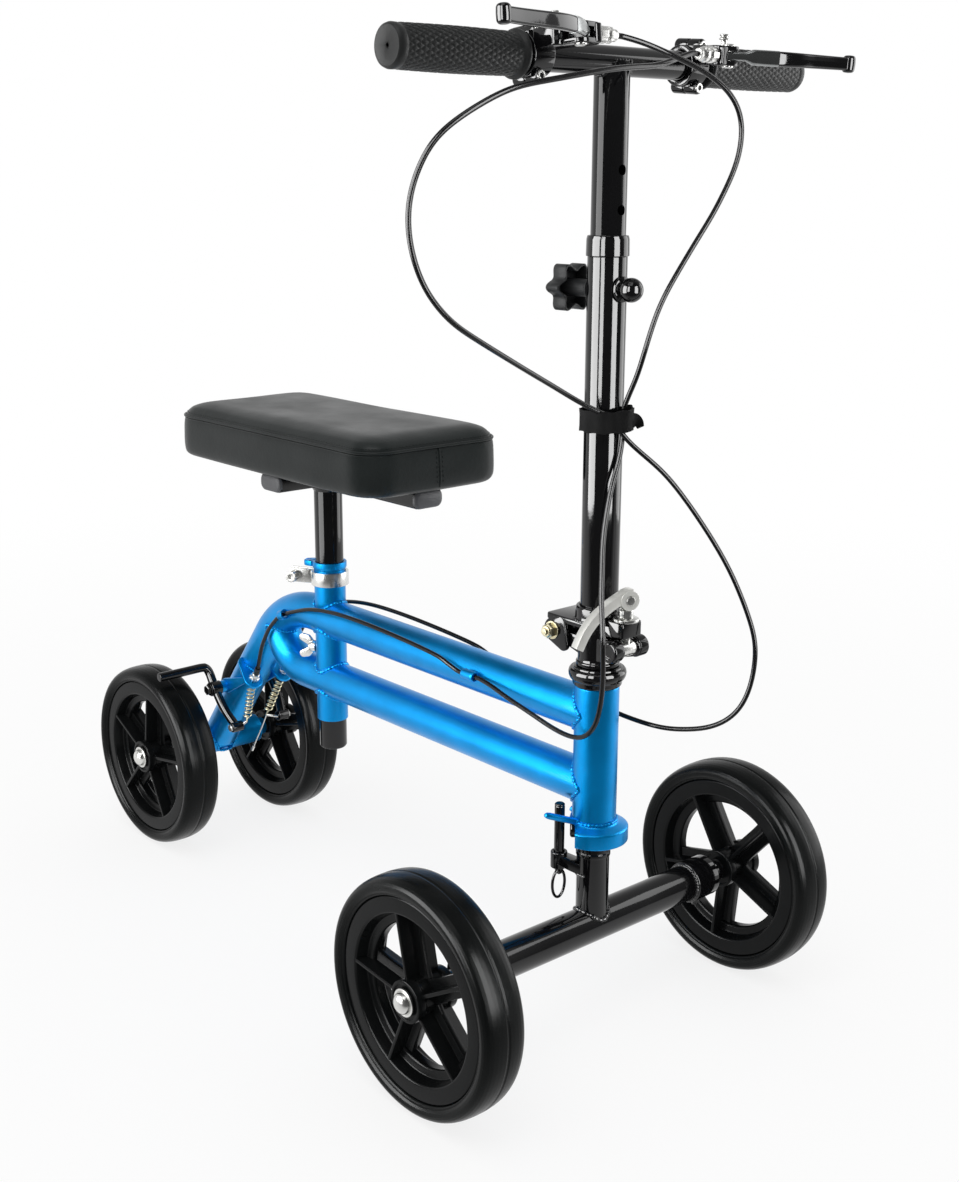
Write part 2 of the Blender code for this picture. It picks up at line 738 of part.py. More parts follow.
wing_half = TUBE_SPACING / 2 - FRAME_R - 0.0024
wing_stem = [(0, POST_R + 0.0006), (bolt_r, POST_R + 0.0006), (bolt_r, SEAT_R + 0.0006)]
wing_stem += [
    (0.006, SEAT_R + 0.0006), (0.006, SEAT_R + 0.010), (0.0045, SEAT_R + 0.014), (0, SEAT_R + 0.014)
]
wing_shape = [(SEAT_R + 0.0125, 0, 0.004)]
wing_shape += [(SEAT_R + 0.024, side * (wing_half - 0.004), 0.004) for side in (-1, 1)]
wing = carve(
    turned(wing_stem, wing_mid, wing_out, 12), add=[slab(hull(wing_shape), -0.0016, 0.0016, by_wing)]
)
node("wing_bolt", wing, "zinc", wing_mid)

# Seat post, pad bracket and pad
bracket_low = PAD_BOTTOM - SEAT_GAP - BRACKET_HEIGHT
pad_x = SEAT_X + PAD_OFFSET
post = sleeve(POST_R - 0.002, POST_R, (SEAT_X, 0, POST_LOW), (SEAT_X, 0, bracket_low - SEAT_GAP), 20)
node("seat_post", post, "black", (SEAT_X, 0, POST_LOW))
bracket_half = BRACKET_WIDTH / 2
cross_bar = rectangle(bracket_half, PAD_WIDTH * 0.4, 0.007, SEAT_X, 0, 3)
long_bar = rectangle(PAD_LENGTH * 0.437, bracket_half, 0.007, pad_x + 0.002, 0, 3)
bracket_top = bracket_low + BRACKET_HEIGHT
bracket = carve(
    slab(cross_bar, bracket_low, bracket_top, flat),
    add=[slab(long_bar, bracket_low, bracket_top, flat)],
)
node("pad_bracket", bracket, "grey", (SEAT_X, 0, bracket_low))
levels = [
    (0.0, 0.006), (0.06, 0.001), (0.16, 0.0), (0.66, 0.0), (0.82, 0.004), (0.93, 0.013), (1.0, 0.030)
]
pad_points = []
pad_faces = []
ring_size = 24
for level, (share, inset) in enumerate(levels):
    corner = max(PAD_CORNER - inset, 0.004)
    for a, b in rectangle(PAD_LENGTH / 2 - inset, PAD_WIDTH / 2 - inset, corner, pad_x, 0, 5):
        pad_points.append((a, b, PAD_BOTTOM + share * PAD_THICKNESS))
    if level:
        for step in range(ring_size):
            low = (level - 1) * ring_size
            after = (step + 1) % ring_size
            pad_faces.append([low + step, low + after, low + ring_size + after, low + ring_size + step])
pad_faces.append(list(range(ring_size)))
pad_faces.append(list(range(len(pad_points) - ring_size, len(pad_points))))
node("knee_pad", solid(pad_points, pad_faces), "vinyl", (pad_x, 0, PAD_BOTTOM))

# Rear cross tube and axle
rear_face = REAR_TRACK / 2 - HUB_HALF - RUN_GAP
profile = [
    (AXLE_R + RUN_GAP, -rear_face), (0.010, -rear_face), (0.010, -CROSS_HALF), (CROSS_R, -CROSS_HALF)
]
profile += [(radius, -height) for radius, height in profile[::-1]]
node(
    "rear_cross_tube", turned(profile, (REAR_X, 0, AXLE_Z), (0, 1, 0), 16), "blue", (REAR_X, 0, AXLE_Z)
)
rear_nut = REAR_TRACK / 2 + HUB_HALF + RUN_GAP
profile = [(radius, -rear_nut - height) for radius, height in dome_nut[::-1]]
profile += [(AXLE_R, -rear_nut), (AXLE_R, rear_nut)]
profile += [(radius, rear_nut + height) for radius, height in dome_nut]
node("rear_axle", turned(profile, (REAR_X, 0, AXLE_Z), (0, 1, 0), 12), "zinc", (REAR_X, 0, AXLE_Z))

# Rear brakes: bracket on the leg, scrub arm, cable adjuster and return spring on each side
leg_along = (math.cos(slope), math.sin(slope))
pivot_x = BRAKE_PIVOT_ALONG * leg_along[0] - BRAKE_PIVOT_OFF * leg_along[1]
pivot_z = AXLE_Z + BRAKE_PIVOT_ALONG * leg_along[1] + BRAKE_PIVOT_OFF * leg_along[0]
tab_x = pivot_x + 0.0522
tab_z = pivot_z + 0.0191
plate_in = FRAME_R + 0.0005
plate_out = plate_in + 0.004
tab_y = plate_in
eye_in = plate_out + 0.0068
eye_out = eye_in + 0.0122
arm_r = ARM_DIAMETER / 2
scrub_reach = WHEEL_R + SCRUB_GAP + arm_r
scrub_x = pivot_x - 0.0132
scrub_z = AXLE_Z + math.sqrt(scrub_reach**2 - scrub_x**2)
scrub_end = REAR_TRACK / 2 + TYRE_WIDTH * 0.42
foot_x = pivot_x + 0.0317
foot_z = pivot_z - 0.0379
adjuster_r = 0.0035
for name, side in SIDES.items():
    outline = hull(
        [(REAR_X + pivot_x, pivot_z, 0.0085), (REAR_X + tab_x - 0.0078, tab_z - 0.0006, 0.0025)]
    )
    plate = slab(outline, side * plate_in, side * plate_out, upright)
    tab = slab(hull([(REAR_X + tab_x, side * tab_y, 0.011)], 20), tab_z - 0.002, tab_z + 0.002, flat)
    pivot = tail(pivot_x, 0, pivot_z)
    stud = [
        (0, plate_out - 0.001), (0.0065, plate_out - 0.001), (0.0065, eye_in - RUN_GAP),
        (0.004, eye_in - RUN_GAP),
    ]
    stud += [
        (0.004, eye_out + RUN_GAP), (0.0065, eye_out + RUN_GAP), (0.0065, eye_out + 0.0045),
        (0, eye_out + 0.0045),
    ]
    hole_foot = tail(tab_x, side * tab_y, tab_z - 0.02)
    bracket = carve(
        plate,
        add=[tab, turned(stud, pivot, (0, side, 0), 12)],
        cut=[
            swept(upper_route, FRAME_R + SEAT_GAP, 16),
            rod(adjuster_r + SEAT_GAP, hole_foot, hole_foot + Vector((0, 0, 0.04)), 12),
        ],
    )
    node(name + "_brake_bracket", bracket, "blue", tail(pivot_x, side * plate_in, pivot_z))

    eye_mid = (eye_in + eye_out) / 2
    route = [
        tail(foot_x, side * (eye_mid - 0.006), foot_z),
        tail(pivot_x + 0.016, side * (eye_mid - 0.0008), pivot_z - 0.0192),
        tail(pivot_x, side * eye_mid, pivot_z),
        tail(scrub_x + 0.004, side * (eye_mid + 0.0008), scrub_z - 0.0066),
        tail(scrub_x + 0.0005, side * (eye_mid + 0.0045), scrub_z - 0.001),
        tail(scrub_x, side * (eye_mid + 0.0105), scrub_z),
        tail(scrub_x, side * scrub_end, scrub_z),
    ]
    eye = rod(0.008, tail(pivot_x, side * eye_in, pivot_z), tail(pivot_x, side * eye_out, pivot_z), 16)
    bore = rod(
        0.004 + RUN_GAP,
        tail(pivot_x, side * (eye_in - 0.01), pivot_z),
        tail(pivot_x, side * (eye_out + 0.01), pivot_z),
    )
    arm = carve(swept(route, arm_r, 12), add=[eye], cut=[bore])
    node(name + "_brake_arm", arm, "black", tail(pivot_x, side * eye_mid, pivot_z))

    top = tab_z + 0.002
    profile = [
        (0, tab_z - 0.0036), (adjuster_r, tab_z - 0.0036), (adjuster_r, top + SEAT_GAP),
        (0.005, top + SEAT_GAP),
    ]
    profile += [(0.005, top + 0.004), (0.0038, top + 0.0045), (0.0038, top + 0.0095), (0, top + 0.0095)]
    adjuster = turned(profile, tail(tab_x, side * tab_y, 0), (0, 0, 1), 12)
    node(name + "_brake_adjuster", adjuster, "zinc", tail(tab_x, side * tab_y, tab_z))

    spring_top = tail(tab_x, side * tab_y, tab_z - 0.0042)
    spring_foot = tail(foot_x, side * (eye_mid - 0.006), foot_z)
    run = (spring_top - spring_foot).normalized()
    spring = rod(0.0042, spring_foot + run * (arm_r + 0.0042), spring_top - run * 0.0018, 12)
    node(name + "_brake_spring", spring, "zinc", spring_foot)

# Fold joint, lower half
hinge = head(-HINGE_SETBACK, 0, HINGE_Z)
hinge_r = HINGE_BOLT / 2
knuckle_r = 0.008
knuckle_half = 0.0221
cheek_in = knuckle_half + 0.0004
cheek_out = cheek_in + 0.004
stem_r = 0.017
stem_top = HINGE_Z + knuckle_r + 0.0002
nut_low = cup_top + RUN_GAP
latch = head(LATCH_FORWARD, 0, LATCH_Z)
profile = [(STEER_R + SEAT_GAP, nut_low), (HEAD_R - 0.0005, nut_low), (HEAD_R - 0.0005, STEER_TOP)]
profile += [(stem_r, STEER_TOP), (stem_r, stem_top), (0, stem_top)]
profile += [(0, STEER_TOP + SEAT_GAP), (STEER_R + SEAT_GAP, STEER_TOP + SEAT_GAP)]
lug_in = 0.008
lug_out = 0.013
lugs = []
for side in SIDES.values():
    outline = hull(
        [
            (latch.x, latch.z, 0.0085), (HEAD_X + 0.012, STEER_TOP + 0.006, 0.004),
            (HEAD_X + 0.012, latch.z, 0.006),
        ]
    )
    lugs.append(slab(outline, side * lug_in, side * lug_out, upright))
web = slab(
    [
        (hinge.x, HINGE_Z - knuckle_r * 0.9),
        (HEAD_X - 0.008, STEER_TOP + 0.005),
        (HEAD_X - 0.008, HINGE_Z),
        (hinge.x, HINGE_Z),
    ],
    -knuckle_half + 0.0006,
    knuckle_half - 0.0006,
    upright,
)
lower_fold = carve(
    turned(profile, (HEAD_X, 0, 0), (0, 0, 1), 20),
    add=[
        web,
        rod(knuckle_r, hinge - Vector((0, knuckle_half, 0)), hinge + Vector((0, knuckle_half, 0))),
        lugs[0],
        lugs[1],
        rod(
            0.003, latch - Vector((0, lug_out + 0.003, 0)), latch + Vector((0, lug_out + 0.003, 0)), 12
        ),
    ],
    cut=[rod(hinge_r + SEAT_GAP, hinge - Vector((0, 0.05, 0)), hinge + Vector((0, 0.05, 0)), 12)],
)
node("lower_fold_bracket", lower_fold, "black", (HEAD_X, 0, STEER_TOP))

# Fold joint, upper half: plate, cheeks, nose and the collar round the column's foot
plate_low = stem_top + 0.0003
plate_top = plate_low + 0.0055
column_low = plate_top + 0.0007
lip_front = LATCH_FORWARD - 0.0055
lean = 0.367
plate_half = cheek_out - 0.0004
plate_corner = 0.004
plate_shape = [(HEAD_X, 0, 0.0195)]
for side in SIDES.values():
    for x in (hinge.x - 0.009, hinge.x + 0.014):
        plate_shape.append((x, side * (plate_half - plate_corner), plate_corner))
plate = slab(hull(plate_shape, 20), plate_low, plate_top, flat)
nose_top = lip_front - lean * (plate_top - plate_low + 0.0035)
nose = slab(
    [
        (HEAD_X - 0.003, plate_low + 0.0001),
        (HEAD_X + stem_r + 0.0015, plate_low + 0.0001),
        (HEAD_X + stem_r + 0.0015, plate_low - 0.0035),
        (HEAD_X + lip_front, plate_low - 0.0035),
        (HEAD_X + nose_top, plate_top - 0.0003),
        (HEAD_X - 0.003, plate_top - 0.0003),
    ],
    -0.011,
    0.011,
    upright,
)
cheeks = []
for side in SIDES.values():
    outline = hull(
        [
            (hinge.x, HINGE_Z, 0.0125), (hinge.x + 0.012, HINGE_Z - 0.010, 0.006),
            (hinge.x + 0.008, plate_top - 0.007, 0.0065),
        ]
    )
    cheeks.append(slab(outline, side * cheek_in, side * cheek_out, upright))
collar_top = column_low + 0.0115
collar = sleeve(
    COLUMN_R + SEAT_GAP, COLUMN_R + 0.004, (HEAD_X, 0, plate_top - 0.0005), (HEAD_X, 0, collar_top), 20
)
upper_fold = carve(
    plate,
    add=[nose, cheeks[0], cheeks[1], collar],
    cut=[rod(hinge_r + RUN_GAP, hinge - Vector((0, 0.05, 0)), hinge + Vector((0, 0.05, 0)), 12)],
)
node("upper_fold_bracket", upper_fold, "black", hinge)
bolt_half = cheek_out + RUN_GAP
profile = [
    (0, -bolt_half - 0.006), (0.0065, -bolt_half - 0.006), (0.0065, -bolt_half), (hinge_r, -bolt_half)
]
profile += [
    (hinge_r, bolt_half), (0.0065, bolt_half), (0.0065, bolt_half + 0.0042), (0, bolt_half + 0.0042)
]
node("fold_hinge_bolt", turned(profile, hinge, (0, 1, 0), 12), "zinc", hinge)

# Swing bolt with its saddle, and the lever that tightens it
saddle_low = plate_low - 0.003
saddle_top = plate_top + 0.005
saddle_back = HEAD_X + lip_front + 0.00035
saddle = slab(
    [
        (saddle_back - lean * 0.0005, saddle_low),
        (HEAD_X + LATCH_FORWARD + 0.007, saddle_low),
        (HEAD_X + LATCH_FORWARD + 0.007, saddle_top),
        (saddle_back - lean * (saddle_top - plate_low + 0.0035), saddle_top),
    ],
    -0.011,
    0.011,
    upright,
)
cam_z = LATCH_Z + 0.042
cam_r = 0.0072
swing = carve(
    sleeve(
        0.003 + RUN_GAP,
        0.0065,
        latch - Vector((0, lug_in - 0.0003, 0)),
        latch + Vector((0, lug_in - 0.0003, 0)),
        16,
    ),
    add=[
        rod(
            0.004,
            latch + Vector((0, 0, 0.005)),
            latch + Vector((0, 0, cam_z - LATCH_Z - cam_r - RUN_GAP)),
            12,
        ),
        saddle,
        rod(0.0105, (latch.x, 0, saddle_top - 0.0005), (latch.x, 0, saddle_top + 0.0035), 16),
    ],
)
node("latch_bolt", swing, "zinc", latch)
cam = head(LATCH_FORWARD + 0.001, 0, cam_z)
cam_axis = Vector((math.cos(math.radians(18)), -math.sin(math.radians(18)), 0))
handle = [
    cam + Vector(offset) for offset in (
        (0, -0.003, -0.001), (-0.002, -0.016, -0.010), (-0.007, -0.032, -0.025),
        (-0.014, -0.045, -0.037),
    )
]
lever = carve(
    rod(cam_r, cam - cam_axis * 0.0085, cam + cam_axis * 0.0085), add=[swept(handle, 0.0042, 12)]
)
node("latch_lever", lever, "chrome", cam)

# Column, its collar, the cable tie, the height pin and the star knob
knob_z = LOCK_Z - 0.001
hole_r = HOLE_DIAMETER / 2
column = carve(
    sleeve(COLUMN_BORE, COLUMN_R, (HEAD_X, 0, column_low), (HEAD_X, 0, COLUMN_TOP), 20),
    cut=[
        rod(hole_r + RUN_GAP, head(0.008, 0, LOCK_Z), head(0.03, 0, LOCK_Z), 12),
        rod(hole_r + RUN_GAP, head(-0.03, 0, knob_z), head(-0.008, 0, knob_z), 12),
    ],
)
node("column_tube", column, "black", (HEAD_X, 0, column_low))
collar_low = COLUMN_TOP + SEAT_GAP
profile = [
    (COLUMN_BORE, collar_low), (COLUMN_R + 0.0011, collar_low), (COLUMN_R + 0.0011, collar_low + 0.0135)
]
profile += [(COLUMN_R - 0.0003, collar_low + 0.016), (COLUMN_BORE, collar_low + 0.016)]
node(
    "column_collar", turned(profile, (HEAD_X, 0, 0), (0, 0, 1), 20), "plastic", (HEAD_X, 0, collar_low)
)
tie_r = COLUMN_R + 0.0039
tie_x = tie_r - COLUMN_R - SEAT_GAP
tie = sleeve(tie_r, tie_r + 0.0015, head(tie_x, 0, TIE_LOW), head(tie_x, 0, TIE_TOP), 20)
node("cable_tie", tie, "plastic", head(tie_x, 0, TIE_LOW))

tip = BAR_POST_R + 0.0006
profile = [
    (0, tip), (0.0038, tip), (0.0038, COLUMN_R + 0.0004), (0.006, COLUMN_R + 0.0004),
    (0.006, COLUMN_R + 0.0030),
]
ball_x = COLUMN_R + 0.0106
for angle in (-50, -20, 10, 40, 65):
    spread = math.radians(angle)
    profile.append((0.0095 * math.cos(spread), ball_x + 0.0095 * math.sin(spread)))
profile.append((0, ball_x + 0.0095))
node(
    "height_pull_pin", turned(profile, head(0, 0, LOCK_Z), (1, 0, 0), 14), "plastic", head(0, 0, LOCK_Z)
)

knob_r = KNOB_DIAMETER / 2
profile = [(0, tip), (0.004, tip), (0.004, COLUMN_R + 0.0006), (0.011, COLUMN_R + 0.0006)]
profile += [(0.011, COLUMN_R + 0.022), (0, COLUMN_R + 0.022)]
star = []
for step in range(36):
    angle = 2 * math.pi * step / 36
    reach = knob_r * (0.9 + 0.1 * math.cos(6 * angle))
    star.append((reach * math.cos(angle), knob_z + reach * math.sin(angle)))
star_slab = slab(star, -COLUMN_R - 0.0445, -COLUMN_R - 0.0205, lambda a, b, h: head(h, a, b))
knob = carve(turned(profile, head(0, 0, knob_z), (-1, 0, 0), 16), add=[star_slab])
node("star_knob", knob, "plastic", head(0, 0, knob_z))

# Handlebar post with its row of height holes, and the bar
holes = []
for index in range(-4, 4):
    height = LOCK_Z + HOLE_PITCH * index
    holes.append(rod(hole_r, head(0.006, 0, height), head(0.03, 0, height), 8))
bar_post = carve(
    sleeve(BAR_POST_R - 0.002, BAR_POST_R, (HEAD_X, 0, BAR_POST_LOW), (HEAD_X, 0, BAR_Z), 20),
    cut=[rod(BAR_R + SEAT_GAP, (HEAD_X, -0.05, BAR_Z), (HEAD_X, 0.05, BAR_Z), 20)] + holes,
)
node("handlebar_post", bar_post, "black", (HEAD_X, 0, LOCK_Z))
bar_half = GRIP_END - 0.0025
bar = sleeve(BAR_R - BAR_WALL, BAR_R, (HEAD_X, -bar_half, BAR_Z), (HEAD_X, bar_half, BAR_Z), 20)
node("handlebar", bar, "black", (HEAD_X, 0, BAR_Z))

# Grips, lever clamps, levers and parking buttons
grip_r = GRIP_DIAMETER / 2
grip_bore = BAR_R + SEAT_GAP
lever_z = BAR_Z + LEVER_RISE
ear_top = lever_z + 0.0073
ear_low = lever_z - 0.0073
slot = 0.0033
lever_pin = 0.003
clamp_in = LEVER_Y - 0.005
clamp_out_y = GRIP_START - 0.004
barrel_in = LEVER_Y - 0.035
for name, side in SIDES.items():
    profile = [
        (grip_bore, GRIP_START), (grip_r + 0.0025, GRIP_START), (grip_r + 0.0025, GRIP_START + 0.004)
    ]
    profile += [
        (grip_r, GRIP_START + 0.006), (grip_r, GRIP_END - 0.004), (grip_r - 0.004, GRIP_END),
        (0, GRIP_END),
    ]
    profile += [(0, bar_half + SEAT_GAP), (grip_bore, bar_half + SEAT_GAP)]
    grip = turned(profile, (HEAD_X, 0, BAR_Z), (0, side, 0), 20)
    node(name + "_grip", grip, "grip", (HEAD_X, side * GRIP_START, BAR_Z))

    def plan(a, b, h, side=side):
        """A plan outline measured forward from the bar and out from its middle."""
        return (HEAD_X + a, side * b, h)

    ear = hull(
        [
            (LEVER_AHEAD, LEVER_Y, 0.0078), (LEVER_AHEAD, LEVER_Y - 0.0105, 0.0062),
            (0.032, LEVER_Y + 0.001, 0.008),
        ]
    )
    holder = [(LEVER_AHEAD - 0.006, LEVER_Y - 0.0135), (LEVER_AHEAD + 0.006, LEVER_Y - 0.0135)]
    holder += [(LEVER_AHEAD + 0.006, LEVER_Y - 0.0078), (LEVER_AHEAD - 0.006, LEVER_Y - 0.0078)]
    body = [
        (BAR_R + 0.0014, LEVER_Y - 0.006), (0.0365, LEVER_Y - 0.006), (0.0365, clamp_out_y),
        (BAR_R + 0.0014, clamp_out_y),
    ]
    mid = head(LEVER_AHEAD, side * LEVER_Y, lever_z)
    barrel = [
        (0, -0.013), (0.0055, -0.013), (0.0055, -0.029), (0.0042, -0.030), (0.0042, -0.035), (0, -0.035)
    ]
    barrel = [(radius, LEVER_Y + height) for radius, height in barrel]
    button = head(0.032, side * (LEVER_Y + 0.010), 0)
    perch = carve(
        sleeve(
            grip_bore,
            grip_bore + 0.0041,
            (HEAD_X, side * clamp_in, BAR_Z),
            (HEAD_X, side * clamp_out_y, BAR_Z),
        ),
        add=[
            slab(body, ear_low, ear_top, plan),
            slab(ear, ear_low + 0.00005, lever_z - slot, plan),
            slab(ear, lever_z + slot, ear_top - 0.00005, plan),
            slab(holder, ear_low + 0.0005, ear_top - 0.0005, plan),
            rod(lever_pin, mid - Vector((0, 0, slot + 0.001)), mid + Vector((0, 0, slot + 0.001)), 12),
            turned(barrel, head(LEVER_AHEAD, 0, lever_z), (0, side, 0), 12),
        ],
        cut=[
            rod(
                0.0025,
                button + Vector((0, 0, ear_top - 0.0085)),
                button + Vector((0, 0, ear_top + 0.01)),
                12,
            )
        ],
    )
    node(name + "_lever_clamp", perch, "black", (HEAD_X, side * clamp_in, BAR_Z))

    path = [
        (0.0145, 0.0145), (0.0235, 0.0285), (0.0285, 0.046), (0.0305, 0.066), (0.033, 0.087),
        (0.0365, 0.108),
    ]
    path = [(LEVER_AHEAD + a, LEVER_Y + b) for a, b in path]
    blade = ribbon(path, [0.0046, 0.0046, 0.0042, 0.004, 0.0038, 0.0034])
    root = hull([(LEVER_AHEAD, LEVER_Y, 0.007), (LEVER_AHEAD + 0.0165, LEVER_Y + 0.0175, 0.0045)])
    brake_lever = carve(
        slab(root, lever_z - 0.003, lever_z + 0.003, plan),
        add=[slab(blade, lever_z - 0.005, lever_z + 0.005, plan)],
        cut=[rod(lever_pin + RUN_GAP, mid - Vector((0, 0, 0.02)), mid + Vector((0, 0, 0.02)), 12)],
    )
    node(name + "_brake_lever", brake_lever, "black", mid)

    profile = [
        (0, ear_top - 0.0035), (0.0022, ear_top - 0.0035), (0.0022, ear_top + 0.0047),
        (0.004, ear_top + 0.0047),
    ]
    profile += [(0.004, ear_top + 0.0082), (0.0032, ear_top + 0.009), (0, ear_top + 0.009)]
    node(
        name + "_parking_button",
        turned(profile, button, (0, 0, 1), 12),
        "zinc",
        button + Vector((0, 0, ear_top)),
    )


def fitted(route, start, end):
    """A route moved so that its ends fall on two points, the difference shared out along it."""
    route = [Vector(point) for point in route]
    lengths = [0.0]
    for before, after in zip(route, route[1:]):
        lengths.append(lengths[-1] + (after - before).length)
    first = Vector(start) - route[0]
    last = Vector(end) - route[-1]
    return [point + first.lerp(last, run / lengths[-1]) for point, run in zip(route, lengths)]


def flowing(route, spacing):
    """Evenly spaced points of a smooth curve through a route."""
    dense = []
    ends = [route[0] * 2 - route[1]] + list(route) + [route[-1] * 2 - route[-2]]
    for before, start, end, after in zip(ends, ends[1:], ends[2:], ends[3:]):
        for step in range(12):
            t = step / 12
            pull = (end - before) * 0.5
            push = (after - start) * 0.5
            point = start * (2 * t**3 - 3 * t**2 + 1) + pull * (t**3 - 2 * t**2 + t)
            dense.append(point + end * (3 * t**2 - 2 * t**3) + push * (t**3 - t**2))
    dense.append(route[-1])
    lengths = [0.0]
    for before, after in zip(dense, dense[1:]):
        lengths.append(lengths[-1] + (after - before).length)
    count = max(3, round(lengths[-1] / spacing))
    targets = [lengths[-1] * step / count for step in range(count + 1)]
    targets.insert(1, spacing * 0.15)
    targets.insert(-1, lengths[-1] - spacing * 0.15)
    points = []
    index = 0
    for target in targets:
        while index < len(dense) - 2 and lengths[index + 1] < target:
            index += 1
        share = (target - lengths[index]) / max(lengths[index + 1] - lengths[index], 1e-9)
        points.append(dense[index].lerp(dense[index + 1], min(max(share, 0), 1)))
    return points


def cable(name, route):
    """A round cable with closed ends along a route."""
    curve = bpy.data.curves.new(name, "CURVE")
    curve.dimensions = "3D"
    curve.bevel_depth = cable_r
    curve.bevel_resolution = 2
    curve.use_fill_caps = True
    points = flowing(route, CABLE_DIAMETER * 3)
    spline = curve.splines.new("POLY")
    spline.points.add(len(points) - 1)
    for spot, point in zip(spline.points, points):
        spot.co = (*point, 1)
    part = bpy.data.objects.new(name, curve)
    bpy.context.scene.collection.objects.link(part)
    paint(part, name, "cable")


# Brake cables: lever to tie, tie to frame stop, frame stop to brake, as routes from the steering axis
RIGHT_UPPER = [
    (0.046, -0.044, 0.829), (0.0462, -0.037, 0.829), (0.051, -0.024, 0.8265), (0.058, -0.009, 0.821),
    (0.062, 0.030, 0.810),
    (0.065, 0.056, 0.798), (0.067, 0.069, 0.786), (0.067, 0.076, 0.772), (0.066, 0.076, 0.745),
    (0.060, 0.062, 0.707),
    (0.056, 0.044, 0.690), (0.050, 0.027, 0.663), (0.045, 0.015, 0.641), (0.041, 0.009, 0.621),
    (0.036, 0.005, 0.597),
    (0.0285, 0.005, 0.578), (0.0212, 0.004, 0.5655), (0.0188, 0.0033, 0.557), (0.0188, 0.0033, 0.5502),
]
LEFT_UPPER = [
    (0.046, 0.044, 0.829), (0.0461, 0.037, 0.829), (0.0470, 0.024, 0.8255), (0.050, -0.003, 0.818),
    (0.054, -0.037, 0.815),
    (0.056, -0.068, 0.811), (0.056, -0.109, 0.804), (0.054, -0.147, 0.797), (0.050, -0.169, 0.788),
    (0.043, -0.194, 0.773),
    (0.035, -0.207, 0.759), (0.027, -0.215, 0.736), (0.022, -0.217, 0.713), (0.022, -0.214, 0.687),
    (0.024, -0.203, 0.660),
    (0.027, -0.179, 0.634), (0.028, -0.137, 0.608), (0.028, -0.118, 0.602), (0.028, -0.082, 0.587),
    (0.0275, -0.046, 0.5755), (0.0265, -0.026, 0.5715), (0.0232, -0.0105, 0.5680),
    (0.0198, -0.0046, 0.5625),
    (0.0188, -0.0033, 0.5560), (0.0188, -0.0033, 0.5502),
]
RIGHT_MIDDLE = [
    (0.0188, 0.0033, 0.5498), (0.0188, 0.0033, 0.540), (0.0188, 0.0028, 0.528), (0.0193, -0.002, 0.512),
    (0.0217, -0.012, 0.494),
    (0.028, -0.026, 0.456), (0.036, -0.034, 0.434), (0.042, -0.041, 0.413), (0.045, -0.043, 0.391),
    (0.046, -0.043, 0.367), (0.047, -0.042, 0.343), (0.045, -0.041, 0.327), (0.037, -0.038, 0.304),
    (0.024, -0.036, 0.290), (0.010, -0.035, 0.285), (-0.016, -0.033, 0.285), (-0.054, -0.030, 0.291),
    (-0.082, -0.028, 0.295), (-0.106, -0.0252, 0.2995), (-0.120, -0.0241, 0.301),
    (-0.129, -0.0240, 0.301),
]
LEFT_MIDDLE = [
    (0.0188, -0.0033, 0.5498), (0.0188, -0.0033, 0.5408), (0.0206, -0.0025, 0.535),
    (0.0268, 0.003, 0.5275), (0.037, 0.016, 0.5165), (0.046, 0.030, 0.501),
    (0.060, 0.053, 0.466), (0.076, 0.074, 0.424), (0.089, 0.087, 0.382), (0.094, 0.091, 0.356),
    (0.092, 0.088, 0.322),
    (0.084, 0.080, 0.299), (0.068, 0.068, 0.286), (0.045, 0.056, 0.281), (0.032, 0.049, 0.280),
    (0.009, 0.042, 0.282),
    (-0.010, 0.037, 0.285), (-0.050, 0.031, 0.291), (-0.090, 0.0265, 0.297), (-0.120, 0.0241, 0.301),
    (-0.129, 0.0240, 0.301),
]
REAR_RUN = [
    (-0.146, 0.301), (-0.154, 0.3012), (-0.166, 0.3042), (-0.187, 0.309), (-0.242, 0.313),
    (-0.300, 0.315), (-0.348, 0.314), (-0.386, 0.309),
    (-0.415, 0.3005), (-0.4364, 0.2928), (-0.4455, 0.2875), (-0.463, 0.271), (-0.479, 0.251),
    (-0.491, 0.238), (-0.5005, 0.2285),
    (-0.505, 0.2210), (-0.505, 0.2142),
]
tie_z = (TIE_LOW + TIE_TOP) / 2 + 0.002
tie_reach = COLUMN_R + cable_r + 0.0004
end_gap = 0.0003
middles = {"right": RIGHT_MIDDLE, "left": LEFT_MIDDLE}
uppers = {"right": RIGHT_UPPER, "left": LEFT_UPPER}
for name, side in SIDES.items():
    route = [head(*point) for point in uppers[name]]
    gland = head(LEVER_AHEAD, side * (barrel_in - end_gap), lever_z)
    in_tie = head(tie_reach, -side * 0.0033, tie_z)
    cable(name + "_cable_upper", fitted(route, gland, in_tie + Vector((0, 0, end_gap / 2))))
    route = [head(*point) for point in middles[name]]
    stop = head(stop_front + end_gap, side * stop_y, stop_z)
    cable(name + "_cable_middle", fitted(route, in_tie - Vector((0, 0, end_gap / 2)), stop))
    count = len(REAR_RUN)
    route = []
    for index, (u, z) in enumerate(REAR_RUN):
        inward = max(0, index - count + 6) / 5
        route.append(head(u, side * (stop_y - (stop_y - tab_y) * inward), z))
    start = head(stop_back - end_gap, side * stop_y, stop_z)
    finish = tail(tab_x, side * tab_y, tab_z + 0.0115 + 2 * end_gap)
    cable(name + "_cable_rear", fitted(route, start, finish))
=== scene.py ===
"""Looks of a knee scooter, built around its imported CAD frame. Metres, +X forward, +Y left, +Z up.

A shell is a list of points and a list of faces. A profile is a list of (radius, height) pairs.
"""

import json
import math

import bmesh
import bpy
from mathutils import Matrix, Vector
from mathutils.bvhtree import BVHTree

